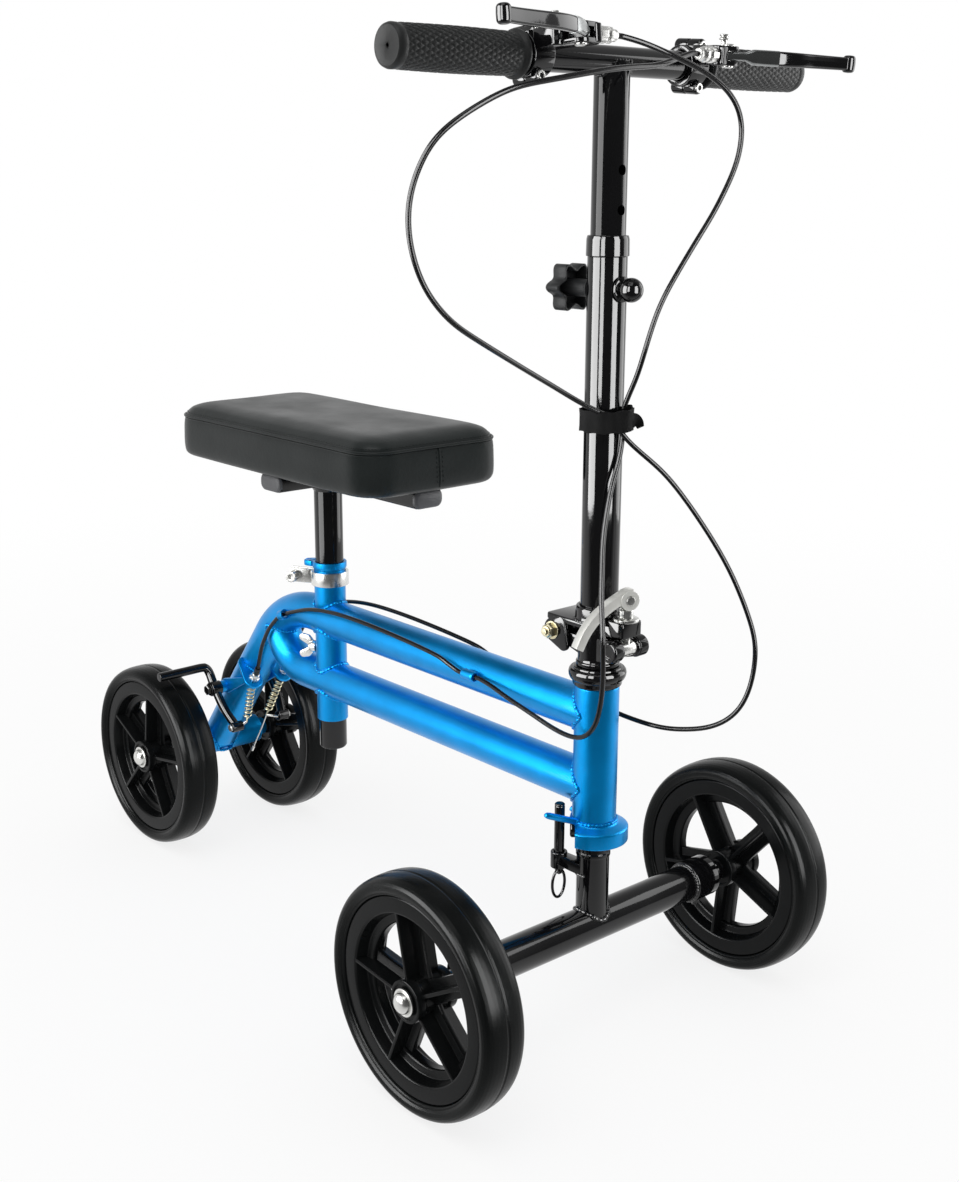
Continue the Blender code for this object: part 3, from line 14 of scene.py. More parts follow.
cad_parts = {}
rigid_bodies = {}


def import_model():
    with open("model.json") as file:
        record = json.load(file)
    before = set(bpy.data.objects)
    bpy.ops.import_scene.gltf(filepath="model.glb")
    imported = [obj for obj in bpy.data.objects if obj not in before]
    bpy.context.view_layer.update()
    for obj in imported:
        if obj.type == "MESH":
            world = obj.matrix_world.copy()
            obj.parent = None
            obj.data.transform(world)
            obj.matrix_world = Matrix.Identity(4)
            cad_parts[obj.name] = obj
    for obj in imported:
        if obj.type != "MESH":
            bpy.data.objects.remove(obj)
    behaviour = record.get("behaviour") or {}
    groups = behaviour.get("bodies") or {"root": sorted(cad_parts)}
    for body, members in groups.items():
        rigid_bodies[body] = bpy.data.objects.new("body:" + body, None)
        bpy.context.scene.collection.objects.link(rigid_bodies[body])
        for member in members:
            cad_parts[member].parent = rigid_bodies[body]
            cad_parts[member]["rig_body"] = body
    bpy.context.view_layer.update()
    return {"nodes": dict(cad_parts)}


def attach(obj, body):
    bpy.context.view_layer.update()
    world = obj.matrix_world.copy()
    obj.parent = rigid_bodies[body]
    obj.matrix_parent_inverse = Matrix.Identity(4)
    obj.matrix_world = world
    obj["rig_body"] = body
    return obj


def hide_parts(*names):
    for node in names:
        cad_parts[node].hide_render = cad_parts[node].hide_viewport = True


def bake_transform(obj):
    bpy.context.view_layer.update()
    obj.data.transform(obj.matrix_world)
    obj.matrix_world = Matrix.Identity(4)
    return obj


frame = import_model()

scene = bpy.context.scene
TAU = 2 * math.pi
UP, ACROSS, AHEAD = Vector((0, 0, 1)), Vector((0, 1, 0)), Vector((1, 0, 0))
SIDES = {"right": -1, "left": 1}
BODY = {name: part["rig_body"] for name, part in frame["nodes"].items()}

# Sizes shared with the CAD part
HEAD_X, REAR_X, SEAT_X = 0.307, -0.307, -0.077
FRONT_Y, REAR_Y, AXLE_Z = 0.1885, 0.0805, 0.1016
CROSSBAR_R, STEER_R, HEAD_R, FRAME_R = 0.0165, 0.0143, 0.019, 0.01905
SEAT_R, POST_R, COLUMN_R, BAR_POST_R, BAR_R, CABLE_R = 0.0159, 0.0143, 0.0159, 0.014, 0.0111, 0.0021
STEER_TOP, HEAD_TOP, UPPER_Z, LOWER_Z, BAR_Z = 0.345, 0.3225, 0.297, 0.231, 0.8204
CABLE_Y, WHEEL_SIDES = 0.02405, 28
LEG_SLOPE = math.radians(52)


# Points


def head(u, y, z):
    """A point measured forward from the steering axis."""
    return Vector((HEAD_X + u, y, z))


def tail(x, y, z):
    """A point measured forward from the rear axle."""
    return Vector((REAR_X + x, y, z))


def flat(a, b, h):
    return Vector((a, b, h))


def upright(a, b, h):
    return Vector((a, h, b))


def sideways(side):
    """Places (a, b, height) with the height out to one side."""
    return lambda a, b, h: Vector((a, side * h, b))


HEAD_AXIS, SEAT_AXIS = head(0, 0, 0), Vector((SEAT_X, 0, 0))
FRONT_AXLE, REAR_AXLE = head(0, 0, AXLE_Z), tail(0, 0, AXLE_Z)


# Shells


def join(*shells):
    points = []
    faces = []
    for more, sides in shells:
        base = len(points)
        points += more
        faces += [[base + index for index in face] for face in sides]
    return points, faces


def skin(rings, looped=False):
    """A shell through rings of equally many points. Its ends are closed unless it is looped."""
    sides = len(rings[0])
    points = [point for ring in rings for point in ring]
    faces = []
    for index in range(len(rings) if looped else len(rings) - 1):
        low, high = index * sides, (index + 1) % len(rings) * sides
        for step in range(sides):
            after = (step + 1) % sides
            faces.append([low + step, low + after, high + after, high + step])
    if not looped:
        faces += [list(range(sides)), list(range(len(points) - sides, len(points)))]
    return points, faces


def softened(outline, radius, closed=False, steps=4):
    """An outline with its corners rounded."""
    out = []
    count = len(outline)
    for index, corner in enumerate(outline):
        here = Vector(corner)
        back = Vector(outline[index - 1]) - here
        on = Vector(outline[(index + 1) % count]) - here
        reach = min(radius, back.length * 0.48, on.length * 0.48)
        if reach < 1e-6 or not closed and index in (0, count - 1):
            out.append(tuple(corner))
            continue
        start = here + back.normalized() * reach
        end = here + on.normalized() * reach
        for step in range(steps + 1):
            t = step / steps
            out.append(tuple(start * (1 - t) ** 2 + here * (2 * t * (1 - t)) + end * t * t))
    return out


def mirrored(half):
    """A closed ring profile from its half on the +height side."""
    return half + [(radius, -height) for radius, height in half[::-1]]


def cross_axes(along):
    guide = AHEAD if abs(along.z) > 0.9 else UP
    first = (guide - along * guide.dot(along)).normalized()
    return first, along.cross(first)


def lathe(profile, origin, axis, sides=48, wave=None):
    """A profile turned about an axis. A profile off the axis gives a ring."""
    along = Vector(axis).normalized()
    first, second = cross_axes(along)
    points = []
    rings = []
    for radius, height in profile:
        centre = Vector(origin) + along * height
        if radius < 1e-7:
            rings.append([len(points)] * sides)
            points.append(centre)
            continue
        rings.append(list(range(len(points), len(points) + sides)))
        for step in range(sides):
            angle = TAU * step / sides
            reach = radius if wave is None else wave(radius, height, angle)
            points.append(centre + (first * math.cos(angle) + second * math.sin(angle)) * reach)
    pairs = list(zip(rings, rings[1:]))
    if profile[0][0] > 1e-7:
        pairs.append((rings[-1], rings[0]))
    faces = []
    for low, high in pairs:
        for step in range(sides):
            after = (step + 1) % sides
            face = list(dict.fromkeys([low[step], low[after], high[after], high[step]]))
            if len(face) > 2:
                faces.append(face)
    return points, faces


def turned(profile, edge, origin, axis=UP, sides=48, wave=None, steps=4):
    """A profile with rounded corners, turned about an axis."""
    return lathe(softened(profile, edge, profile[0][0] > 1e-7, steps), origin, axis, sides, wave)


def knurled(count, depth, beyond):
    """Ridges along a turned piece where it is thicker than a radius."""
    return lambda radius, height, angle: radius * (1 + depth * math.cos(count * angle)) if radius > beyond else radius


def rod(radius, start, end, sides=24, edge=0.0004):
    """A round bar with softened ends."""
    run = Vector(end) - Vector(start)
    return turned([(0, 0), (radius, 0), (radius, run.length), (0, run.length)], edge, start, run, sides)


def carry(path, closed=False, up=None):
    """Directions across a path, without twist or held to an up direction."""
    count = len(path)
    runs = []
    for index in range(count):
        before = path[index - 1] if closed or index else path[0]
        after = path[(index + 1) % count] if closed or index < count - 1 else path[-1]
        runs.append((after - before).normalized())
    frames = []
    first = cross_axes(runs[0])[0]
    for run in runs:
        if up is not None:
            first = run.cross(Vector(up))
        first = (first - run * first.dot(run)).normalized()
        frames.append((first, run.cross(first)))
    return frames


def swept(path, section, closed=False, up=None):
    """Closed outlines of (across, up) pairs carried along a path. section(index) gives each outline."""
    path = [Vector(point) for point in path]
    rings = []
    for index, (across, over) in enumerate(carry(path, closed, up)):
        rings.append([path[index] + across * a + over * b for a, b in section(index)])
    return skin(rings, closed)


def circle(radius, sides):
    return [(radius * math.cos(TAU * s / sides), radius * math.sin(TAU * s / sides)) for s in range(sides)]


def tube(path, radius, sides=20, closed=False, up=None):
    """A round bar along a path. The radius may be a list."""
    sizes = radius if isinstance(radius, list) else [radius] * len(path)
    return swept(path, lambda index: circle(sizes[index], sides), closed, up)


def flowing(route, spacing=0.004):
    """Points of a smooth curve through a route, about the spacing apart."""
    route = [Vector(point) for point in route]
    ends = [route[0] * 2 - route[1]] + route + [route[-1] * 2 - route[-2]]
    dense = []
    for before, start, end, after in zip(ends, ends[1:], ends[2:], ends[3:]):
        steps = max(2, round((end - start).length / spacing))
        for step in range(steps):
            t = step / steps
            pull = (end - before) * 0.5
            push = (after - start) * 0.5
            point = start * (2 * t**3 - 3 * t**2 + 1) + pull * (t**3 - 2 * t**2 + t)
            dense.append(point + end * (3 * t**2 - 2 * t**3) + push * (t**3 - t**2))
    dense.append(route[-1])
    return dense


def inset(outline, depth):
    """An outline moved inwards along its corner normals."""
    count = len(outline)
    area = sum(a[0] * b[1] - b[0] * a[1] for a, b in zip(outline, outline[1:] + outline[:1]))
    turn = 1 if area > 0 else -1
    out = []
    for index, (a, b) in enumerate(outline):
        a0, b0 = outline[index - 1]
        a1, b1 = outline[(index + 1) % count]
        run = Vector((a - a0, b - b0)).normalized() + Vector((a1 - a, b1 - b)).normalized()
        run = run.normalized() if run.length > 1e-9 else Vector((1, 0))
        out.append((a - run.y * depth * turn, b + run.x * depth * turn))
    return out


def plate(outline, low, high, place, edge=0.0007, steps=3):
    """An outline drawn out from low to high with rounded edges. place turns (a, b, height) into a point."""
    levels = []
    for step in range(steps + 1):
        angle = math.pi / 2 * step / steps
        levels.append((edge * (1 - math.sin(angle)), low + edge * (1 - math.cos(angle))))
    levels += [(depth, low + high - height) for depth, height in levels[::-1]]
    return skin([[Vector(place(a, b, height)) for a, b in inset(outline, depth)] for depth, height in levels])


def hull(circles, steps=32):
    """The outline of a band stretched round circles of (a, b, radius)."""
    spots = set()
    for a, b, radius in circles:
        for a_off, b_off in circle(radius, steps):
            spots.add((round(a + a_off, 7), round(b + b_off, 7)))
    spots = sorted(spots)
    outline = []
    for run in (spots, spots[::-1]):
        half = []
        for spot in run:
            while len(half) > 1:
                (a0, b0), (a1, b1) = half[-2], half[-1]
                if (a1 - a0) * (spot[1] - b0) - (b1 - b0) * (spot[0] - a0) > 1e-10:
                    break
                half.pop()
            half.append(spot)
        outline += half[:-1]
    return outline


def rectangle(a_half, b_half, corner, a_mid=0.0, b_mid=0.0, steps=6):
    outline = []
    for quarter, (a_sign, b_sign) in enumerate(((1, 1), (-1, 1), (-1, -1), (1, -1))):
        for step in range(steps + 1):
            angle = math.pi / 2 * (quarter + step / steps)
            a = a_mid + a_sign * (a_half - corner) + corner * math.cos(angle)
            b = b_mid + b_sign * (b_half - corner) + corner * math.sin(angle)
            outline.append((a, b))
    return outline


def strip(start, end, half):
    return [(start, -half), (end, -half), (end, half), (start, half)]


def mesh_of(shell, name="shape"):
    """A mesh from a shell, with every face turned outwards."""
    points, faces = shell
    mesh = bpy.data.meshes.new(name)
    mesh.from_pydata([tuple(point) for point in points], [], faces)
    shape = bmesh.new()
    shape.from_mesh(mesh)
    bmesh.ops.remove_doubles(shape, verts=shape.verts, dist=1e-7)
    bmesh.ops.recalc_face_normals(shape, faces=shape.faces)
    shape.to_mesh(mesh)
    shape.free()
    return mesh


def put(name, data):
    """A new object in the scene."""
    thing = bpy.data.objects.new(name, data)
    scene.collection.objects.link(thing)
    return thing


def evaluated(thing):
    """The mesh that an object's modifiers make."""
    bpy.context.view_layer.update()
    return bpy.data.meshes.new_from_object(thing.evaluated_get(bpy.context.evaluated_depsgraph_get()))


def carve(base, *cuts):
    """Cuts shells from a base."""
    helpers = [put("host", mesh_of(base))]
    for shell in cuts:
        helpers.append(put("helper", mesh_of(shell)))
        step = helpers[0].modifiers.new("step", "BOOLEAN")
        step.operation = "DIFFERENCE"
        step.solver = "EXACT"
        step.object = helpers[-1]
    result = evaluated(helpers[0])
    points = [vertex.co.copy() for vertex in result.vertices]
    faces = [list(polygon.vertices) for polygon in result.polygons]
    for helper in helpers:
        bpy.data.objects.remove(helper, do_unlink=True)
    bpy.data.meshes.remove(result)
    return points, faces


def bead(path, radius=0.0017, pitch=0.0032, closed=True):
    """A weld bead: overlapping ripples along a seam."""
    path = [Vector(point) for point in path]
    line = path + [path[0]] if closed else path
    total = sum((b - a).length for a, b in zip(line, line[1:]))
    count = max(16, round(total / (pitch / 6)))
    dense = []
    sizes = []
    index = 0
    done = 0.0
    for step in range(count if closed else count + 1):
        run = total * step / count
        while index < len(line) - 2 and done + (line[index + 1] - line[index]).length < run:
            done += (line[index + 1] - line[index]).length
            index += 1
        length = max((line[index + 1] - line[index]).length, 1e-9)
        dense.append(line[index].lerp(line[index + 1], min((run - done) / length, 1)))
        ripple = abs(math.sin(math.pi * run / pitch))
        drift = 0.12 * math.sin(run * 310) + 0.08 * math.sin(run * 730 + 1)
        sizes.append(radius * (0.78 + 0.26 * ripple + drift))
    return tube(dense, sizes, 10, closed)


def hex_head(spot, axis, across, height):
    """A six-sided bolt head or nut with a turned chamfer."""
    r = across / math.sqrt(3)
    return lathe([(0, 0), (r, 0), (r, height * 0.82), (r * 0.84, height), (0, height)], spot, axis, 6)


def coil(start, end, radius, wire, turns, sides=8):
    """A spring between two points, with hooked ends."""
    run = end - start
    first, second = cross_axes(run.normalized())
    path = [start]
    count = round(turns * 18)
    for step in range(count + 1):
        share = step / count
        angle = TAU * turns * share
        ease = min(1, share * turns * 1.6, (1 - share) * turns * 1.6)
        spot = start + run * (0.08 + 0.84 * share)
        path.append(spot + (first * math.cos(angle) + second * math.sin(angle)) * radius * ease)
    path.append(end)
    return tube(path, wire, sides)


# Materials


def node(tree, kind, sockets=None, **settings):
    """A shader node. Each socket takes a value, or the output that feeds it."""
    made = tree.nodes.new("ShaderNode" + kind)
    for name, value in settings.items():
        setattr(made, name, value)
    for name, value in (sockets or {}).items():
        if isinstance(value, bpy.types.NodeSocket):
            tree.links.new(value, made.inputs[name])
        else:
            made.inputs[name].default_value = value
    return made


def worked(tree, operation, first, second):
    return node(tree, "Math", {0: first, 1: second}, operation=operation).outputs["Value"]


def ranged(tree, value, low, high, first, last, kind="LINEAR"):
    """A value carried from one range to another."""
    sockets = {"Value": value, "From Min": low, "From Max": high, "To Min": first, "To Max": last}
    return node(tree, "MapRange", sockets, interpolation_type=kind).outputs["Result"]


def mixed(tree, factor, first, second):
    return node(tree, "Mix", {"Factor": factor, "A": first, "B": second}).outputs["Result"]


def blend_noise(tree, scale, detail, low, high, stretch=None):
    """A noise value between two numbers, in the piece's own space."""
    source = node(tree, "TexCoord").outputs["Object"]
    if stretch:
        source = node(tree, "Mapping", {"Vector": source, "Scale": stretch}).outputs["Vector"]
    noise = node(tree, "TexNoise", {"Vector": source, "Scale": scale, "Detail": detail})
    return ranged(tree, noise.outputs["Fac"], 0.3, 0.7, low, high)


def look(name, colour, metal, rough, mottle, grain, shine=0.5, coat=None, cells=None, stretch=None, slot=None):
    """A finish whose colour, roughness and surface all vary a little over the piece.

    grain is the scale and strength of its bump, and cells the scale of its leather cells.
    """
    material = bpy.data.materials.new(name)
    material.use_nodes = True
    material["slot"] = slot or name
    tree = material.node_tree
    shader = tree.nodes["Principled BSDF"]
    shader.inputs["Metallic"].default_value = metal
    shader.inputs["Specular IOR Level"].default_value = shine
    if coat:
        shader.inputs["Coat Weight"].default_value, shader.inputs["Coat Roughness"].default_value = coat
    tones = [(*[c * (1 + sign * mottle) for c in colour], 1) for sign in (-1, 1)]
    patches = blend_noise(tree, 38, 4, 0, 1, stretch)
    tint = node(tree, "Mix", {"Factor": patches, "A": tones[0], "B": tones[1]}, data_type="RGBA")
    height = blend_noise(tree, grain[0], 2, 0, 1, stretch)
    if cells:
        place = node(tree, "TexCoord").outputs["Object"]
        crack = node(tree, "TexVoronoi", {"Vector": place, "Scale": cells}, feature="SMOOTH_F1")
        height = worked(tree, "ADD", crack.outputs["Distance"], height)
    bump = node(tree, "Bump", {"Strength": grain[1], "Distance": 0.0005, "Height": height})
    for source, socket in (
        (tint.outputs["Result"], "Base Color"), (bump.outputs["Normal"], "Normal"),
        (blend_noise(tree, 21, 3, rough * 0.86, rough * 1.14, stretch), "Roughness"),
    ):
        tree.links.new(source, shader.inputs[socket])
    return material


BLACK, LEATHER = (0.004, 0.004, 0.0045), (0.0150, 0.0188, 0.0186)
LOOKS = {}
for name, colour, metal, rough, mottle, grain, more in (
    ("blue", (0.0004, 0.285, 0.70), 0.75, 0.36, 0.08, (2600, 0.05), {"shine": 0.15, "coat": (0.12, 0.06)}),
    ("black_paint", BLACK, 0.0, 0.06, 0.15, (420, 0.012), {"shine": 0.40}),
    ("zinc", (0.68, 0.68, 0.66), 1.0, 0.26, 0.10, (900, 0.02), {}),
    ("silver_tube", (0.72, 0.72, 0.70), 1.0, 0.36, 0.06, (900, 0.03), {"stretch": (1, 6, 6)}),
    ("black_plastic", (0.022, 0.023, 0.024), 0.0, 0.42, 0.12, (1400, 0.16), {"shine": 0.26}),
    ("grey_plastic", (0.075, 0.077, 0.083), 0.0, 0.5, 0.08, (1500, 0.18), {}),
    ("rim_plastic", (0.0055, 0.0060, 0.0062), 0.0, 0.20, 0.15, (700, 0.04), {"shine": 0.08}),
    ("tyre", (0.0040, 0.0047, 0.0047), 0.0, 0.25, 0.14, (1100, 0.06), {"shine": 0.09}),
    ("grip", (0.016, 0.017, 0.017), 0.0, 0.42, 0.12, (1600, 0.12), {"shine": 0.26}),
    ("vinyl", LEATHER, 0.0, 0.38, 0.10, (260, 0.09), {"shine": 0.26, "cells": 900}),
    ("cable", (0.005, 0.005, 0.0055), 0.0, 0.18, 0.10, (1200, 0.008), {"shine": 0.26}),
    ("spring_plate", (0.70, 0.64, 0.44), 1.0, 0.30, 0.12, (1500, 0.06), {"slot": "zinc"}),
    ("lever_metal", (0.30, 0.31, 0.31), 1.0, 0.24, 0.10, (900, 0.02), {"slot": "zinc"}),
    ("cast_lever", (0.80, 0.80, 0.76), 0.45, 0.36, 0.08, (900, 0.03), {"slot": "silver_tube"}),
    ("strap_web", (0.0030, 0.0030, 0.0034), 0.0, 0.8, 0.2, (2200, 0.5),
     {"shine": 0.26, "cells": 1500, "slot": "black_plastic"}),
):
    LOOKS[name] = look(name, colour, metal, rough, mottle, grain, **more)


def piece(name, shell, finish, stands_for=None, body=None, sharp=38):
    """One visible piece. It rides on its CAD node's body, on the body named, or with "" on none yet."""
    mesh = shell if isinstance(shell, bpy.types.Mesh) else mesh_of(shell, name)
    mesh.shade_smooth()
    mesh.set_sharp_from_angle(angle=math.radians(sharp))
    mesh.materials.append(LOOKS[finish])
    part = put(name, mesh)
    if stands_for:
        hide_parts(stands_for)
    if body != "":
        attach(part, body or BODY[stands_for])
    return part


def dress(cad_node, finish, *shells, body=None, sharp=38):
    """A piece in the place of a CAD node."""
    return piece(cad_node + "_look", join(*shells), finish, cad_node, body, sharp)


# Wheels
tyre_half = [
    (0.0858, 0.0158), (0.0862, 0.0171), (0.0871, 0.0181), (0.0877, 0.0178), (0.0883, 0.0190),
    (0.0905, 0.0203), (0.0932, 0.0208), (0.0954, 0.0204), (0.0975, 0.0191), (0.0991, 0.0169),
    (0.1003, 0.0138), (0.1010, 0.0102), (0.1014, 0.0062), (0.1016, 0.0018), (0.1011, 0.0005),
]
rim_half = [
    (0.0855, 0.0158), (0.0846, 0.0165), (0.0722, 0.0166), (0.0708, 0.0158), (0.0684, 0.0060),
    (0.0620, 0.0054), (0.0606, 0.0040),
]
hub_half = [
    (0.0063, 0.0188), (0.0146, 0.0188), (0.0150, 0.0205), (0.0180, 0.0203), (0.0181, 0.0130), (0.0166, 0.0112),
]
CENTRE = (0, 0, 0)
tyre_mesh = mesh_of(turned(mirrored(tyre_half), 0.0004, CENTRE, ACROSS, 128, steps=3), "tyre")
rim_parts = [turned(mirrored(rim_half), 0.0011, CENTRE, ACROSS, 128)]
rim_parts.append(turned(mirrored(hub_half), 0.0008, CENTRE, ACROSS, 64, steps=3))
# Spokes: (distance from the axle, half width of the web)
stations = [
    (0.0150, 0.0112), (0.0190, 0.0104), (0.0240, 0.0098), (0.0500, 0.0096), (0.0580, 0.0099),
    (0.0625, 0.0106), (0.0660, 0.0120), (0.0712, 0.0040),
]


def cross(station):
    """A flat web in the wheel's plane with a deep rib on each side."""
    wide, deep, web, rib = stations[station][1], 0.0162, 0.0026, 0.0017
    corner = [(-wide, -web), (-rib, -web), (-rib, -deep), (rib, -deep), (rib, -web), (wide, -web)]
    return softened(corner + [(-a, -b) for a, b in corner], 0.0008, True, 2)


for a, b in circle(1, 5):
    rim_parts.append(swept([Vector((a, 0, b)) * reach for reach, wide in stations], cross, up=ACROSS))
rim_mesh = mesh_of(join(*rim_parts), "rim")
WHEELS = {
    "front_right": (HEAD_X, -FRONT_Y, 8), "front_left": (HEAD_X, FRONT_Y, 15),
    "rear_right": (REAR_X, -REAR_Y, 12), "rear_left": (REAR_X, REAR_Y, 18),
}
for name, (x, y, turn) in WHEELS.items():
    for mesh, kind, finish in ((tyre_mesh, "_tyre", "tyre"), (rim_mesh, "_rim", "rim_plastic")):
        own = mesh.copy()
        own.transform(Matrix.Rotation(-TAU * turn / WHEEL_SIDES, 4, "Y"))
        part = piece(name + kind + "_look", own, finish, body="")
        part.location = (x, y, AXLE_Z)
        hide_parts(name + kind)
        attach(part, name + "_wheel")

# Domed axle nuts on their washers, and the front spacers
FRONT_NUT_Y, REAR_NUT_Y = 0.2093, 0.1013
dome = [(0.0118, -0.0002), (0.0118, 0.0016), (0.0100, 0.0018), (0.0094, 0.0010), (0.0092, 0.0022)]
dome += [(0.0088 * math.cos(a), 0.0030 + 0.0050 * math.sin(a)) for a in [0.15 * k for k in range(1, 10)]]
dome += [(0, 0.0080)]
for name, side in SIDES.items():
    out = ACROSS * side
    sleeve = [(0.0062, 0.1505), (0.0100, 0.1505), (0.0100, 0.1677), (0.0062, 0.1677)]
    piece(name + "_front_spacer", turned(sleeve, 0.0006, FRONT_AXLE, out), "black_paint", body="steering")
    profile = [(0, 0.1505), (0.0060, 0.1505), (0.0060, FRONT_NUT_Y)] + [(r, FRONT_NUT_Y + h) for r, h in dome]
    dress(name + "_front_axle", "zinc", turned(profile, 0.0005, FRONT_AXLE, out))
profile = [(r, -REAR_NUT_Y - h) for r, h in dome[::-1]] + [(0.006, -REAR_NUT_Y), (0.006, REAR_NUT_Y)]
profile += [(r, REAR_NUT_Y + h) for r, h in dome]
dress("rear_axle", "zinc", turned(profile, 0.0004, REAR_AXLE, ACROSS))

# Front crossbar, its lugs and their bolts
half = [(0, 0.1502), (0.019, 0.1502), (0.019, 0.1222), (CROSSBAR_R, 0.1218), (CROSSBAR_R, 0.06)]
profile = softened(half, 0.0014) + softened([(r, -h) for r, h in half[::-1]], 0.0014)
bar_parts = [lathe(profile, FRONT_AXLE, ACROSS, 56)]
lug_bolts = []
for side in SIDES.values():
    ring = [head(a, side * 0.1216, AXLE_Z + b) for a, b in circle(CROSSBAR_R + 0.0003, 48)]
    bar_parts.append(bead(ring, 0.0015))
    spot = head(0, side * 0.1370, AXLE_Z - 0.0183)
    lug_bolts += [
        rod(0.0062, spot, spot - UP * 0.0014, 32, 0.0003), hex_head(spot - UP * 0.0013, -UP, 0.009, 0.0042),
        rod(0.0024, spot - UP * 0.004, spot - UP * 0.0078),
    ]
saddle = [head(x, y, AXLE_Z + math.sqrt(CROSSBAR_R**2 - x * x)) for x, y in circle(STEER_R, 64)]
dress("front_crossbar", "black_paint", *bar_parts, bead(saddle, 0.0022, 0.0042))
piece("lug_bolts", join(*lug_bolts), "black_paint", body="steering")

# Steerer, its race and the arm that carries the lock pin
RACE = 0.1717
PIN = head(-0.02086, -0.02086, 0)
profile = [(0, 0.108), (STEER_R, 0.108), (STEER_R, RACE - 0.0037), (STEER_R + 0.0008, RACE - 0.0035)]
profile += [(STEER_R + 0.0008, RACE), (STEER_R, RACE + 0.0002), (STEER_R, STEER_TOP), (0, STEER_TOP)]
line = [head(0, 0, 0.1500).lerp(PIN + UP * 0.1630, share) for share in (0, 0.3, 0.6, 0.9, 1)]
arm = swept(line, lambda i: rectangle(0.0098 - 0.0006 * i, 0.0044, 0.0012, steps=3), up=UP)
bush = [(0.0049, 0.1545), (0.0074, 0.1545), (0.0074, 0.1692), (0.0049, 0.1692)]
root = [head(a, b, 0.1510) for a, b in circle(0.0148, 40)]
dress(
    "fork_steerer", "black_paint", turned(profile, 0.0006, HEAD_AXIS, UP, 56),
    carve(arm, rod(0.0049, PIN + UP * 0.15, PIN + UP * 0.18)), turned(bush, 0.0008, PIN, UP, 36),
    bead(root[17:33], 0.0014, closed=False),
)

# Head tube with its cup, prongs and welds
FLANGE_LOW, FLANGE_TOP, FLANGE_R = 0.1828, 0.1968, 0.0298
profile = [
    (STEER_R + 0.0003, FLANGE_LOW), (FLANGE_R - 0.0008, FLANGE_LOW), (FLANGE_R, FLANGE_LOW + 0.0008),
    (FLANGE_R, FLANGE_TOP - 0.0012), (FLANGE_R - 0.0016, FLANGE_TOP), (HEAD_R + 0.0024, FLANGE_TOP + 0.0026),
    (HEAD_R, FLANGE_TOP + 0.0052), (HEAD_R, HEAD_TOP - 0.0008), (HEAD_R - 0.0008, HEAD_TOP),
    (0.0164, HEAD_TOP), (0.0164, FLANGE_TOP + 0.008), (STEER_R + 0.0003, FLANGE_TOP + 0.008),
]
LOCK_WAY = Vector((-math.sqrt(0.5), -math.sqrt(0.5), 0))
LOCK_SIDE = Vector((math.sqrt(0.5), -math.sqrt(0.5), 0))


def by_lock(a, b, h):
    """A point beside the lock pin: out from the head tube, across and up."""
    return Vector((HEAD_X, 0, h)) + LOCK_WAY * a + LOCK_SIDE * b


notch = plate(strip(0.0160, 0.05, 0.05), 0.17, FLANGE_TOP + 0.0030, by_lock)
head_parts = [carve(turned(profile, 0.0009, HEAD_AXIS, UP, 96), notch)]
PRONG_R = [0.0031, 0.0031, 0.0031, 0.0031, 0.0027, 0.0018, 0.0004]
for bearing, long in ((189, 0.26), (261, 1.28)):
    out = Vector((math.cos(math.radians(bearing)), math.sin(math.radians(bearing)), 0))
    foot = head(0, 0, 0.2012) + out * 0.0178
    reaches = (0, 0.0082, 0.0162, 0.0227, 0.0247, 0.0259, 0.0262)
    path = [foot + (out + UP * 0.41) * reach * long for reach in reaches]
    head_parts.append(swept(path, lambda i: [(a, b * 0.95) for a, b in circle(PRONG_R[i], 20)], up=UP))
ring = [foot + out * 0.0014 + out.cross(UP) * a + UP * b * 0.8 for a, b in circle(0.0034, 20)]
head_parts.append(bead(ring, 0.0011, 0.0022))
ring = [head(a, b, FLANGE_TOP + 0.0050) for a, b in circle(HEAD_R + 0.0006, 64)]
head_parts.append(bead(ring, 0.0014))
# Painted shade: a black round piece in the flange's notch, standing in for the dark inside of the notch
notch_shade_profile = [(0, 0.0150), (0.0072, 0.0150), (0.0078, 0.0158), (0.0078, 0.0192), (0.0064, 0.0204), (0, 0.0206)]
piece("notch_shade_piece", turned(notch_shade_profile, 0.0006, head(0, 0, 0.1905), LOCK_WAY, 40), "black_paint", body="frame")
dress("head_tube", "blue", *head_parts)


# Frame tubes


def arc(centre_x, centre_z, radius, start, end, steps):
    points = []
    for step in range(steps + 1):
        angle = math.radians(start + (end - start) * step / steps)
        points.append(Vector((centre_x + radius * math.cos(angle), 0, centre_z + radius * math.sin(angle))))
    return points


def straight(offsets, z, end_x):
    """Points back along a frame tube from the head tube, short of an end."""
    return [head(-u, 0, z) for u in offsets if HEAD_X - u > end_x + 0.004]


def coped(path):
    """A frame tube whose first ring follows the curve of the head tube."""
    points, faces = tube(path, FRAME_R, 56)
    for spot in points[:56]:
        spot.x = HEAD_X - math.sqrt(max(0.0176**2 - spot.y**2, 0))
    return points, faces


BEND_R, LOOP_R = 0.105, 0.05
vertex_x = REAR_X + (UPPER_Z - AXLE_Z) / math.tan(LEG_SLOPE)
bend_x = vertex_x + BEND_R * math.tan(LEG_SLOPE / 2)
loop_x = vertex_x + 0.036
upper_path = straight([0, 0.019] + [step * 0.02 for step in range(2, 20)], UPPER_Z, bend_x)
upper_path += arc(bend_x, UPPER_Z - BEND_R, BEND_R, 90, 142, 26)
leg_foot = tail(0.010 * math.cos(LEG_SLOPE), 0, AXLE_Z + 0.010 * math.sin(LEG_SLOPE))
upper_path += [upper_path[-1].lerp(leg_foot, share) for share in (0.2, 0.4, 0.6, 0.8, 1)]
lower_path = straight([0] + [0.019 + step * 0.02 for step in range(24)], LOWER_Z, loop_x)
lower_path += arc(loop_x, LOWER_Z + LOOP_R, LOOP_R, 270, 192, 26)
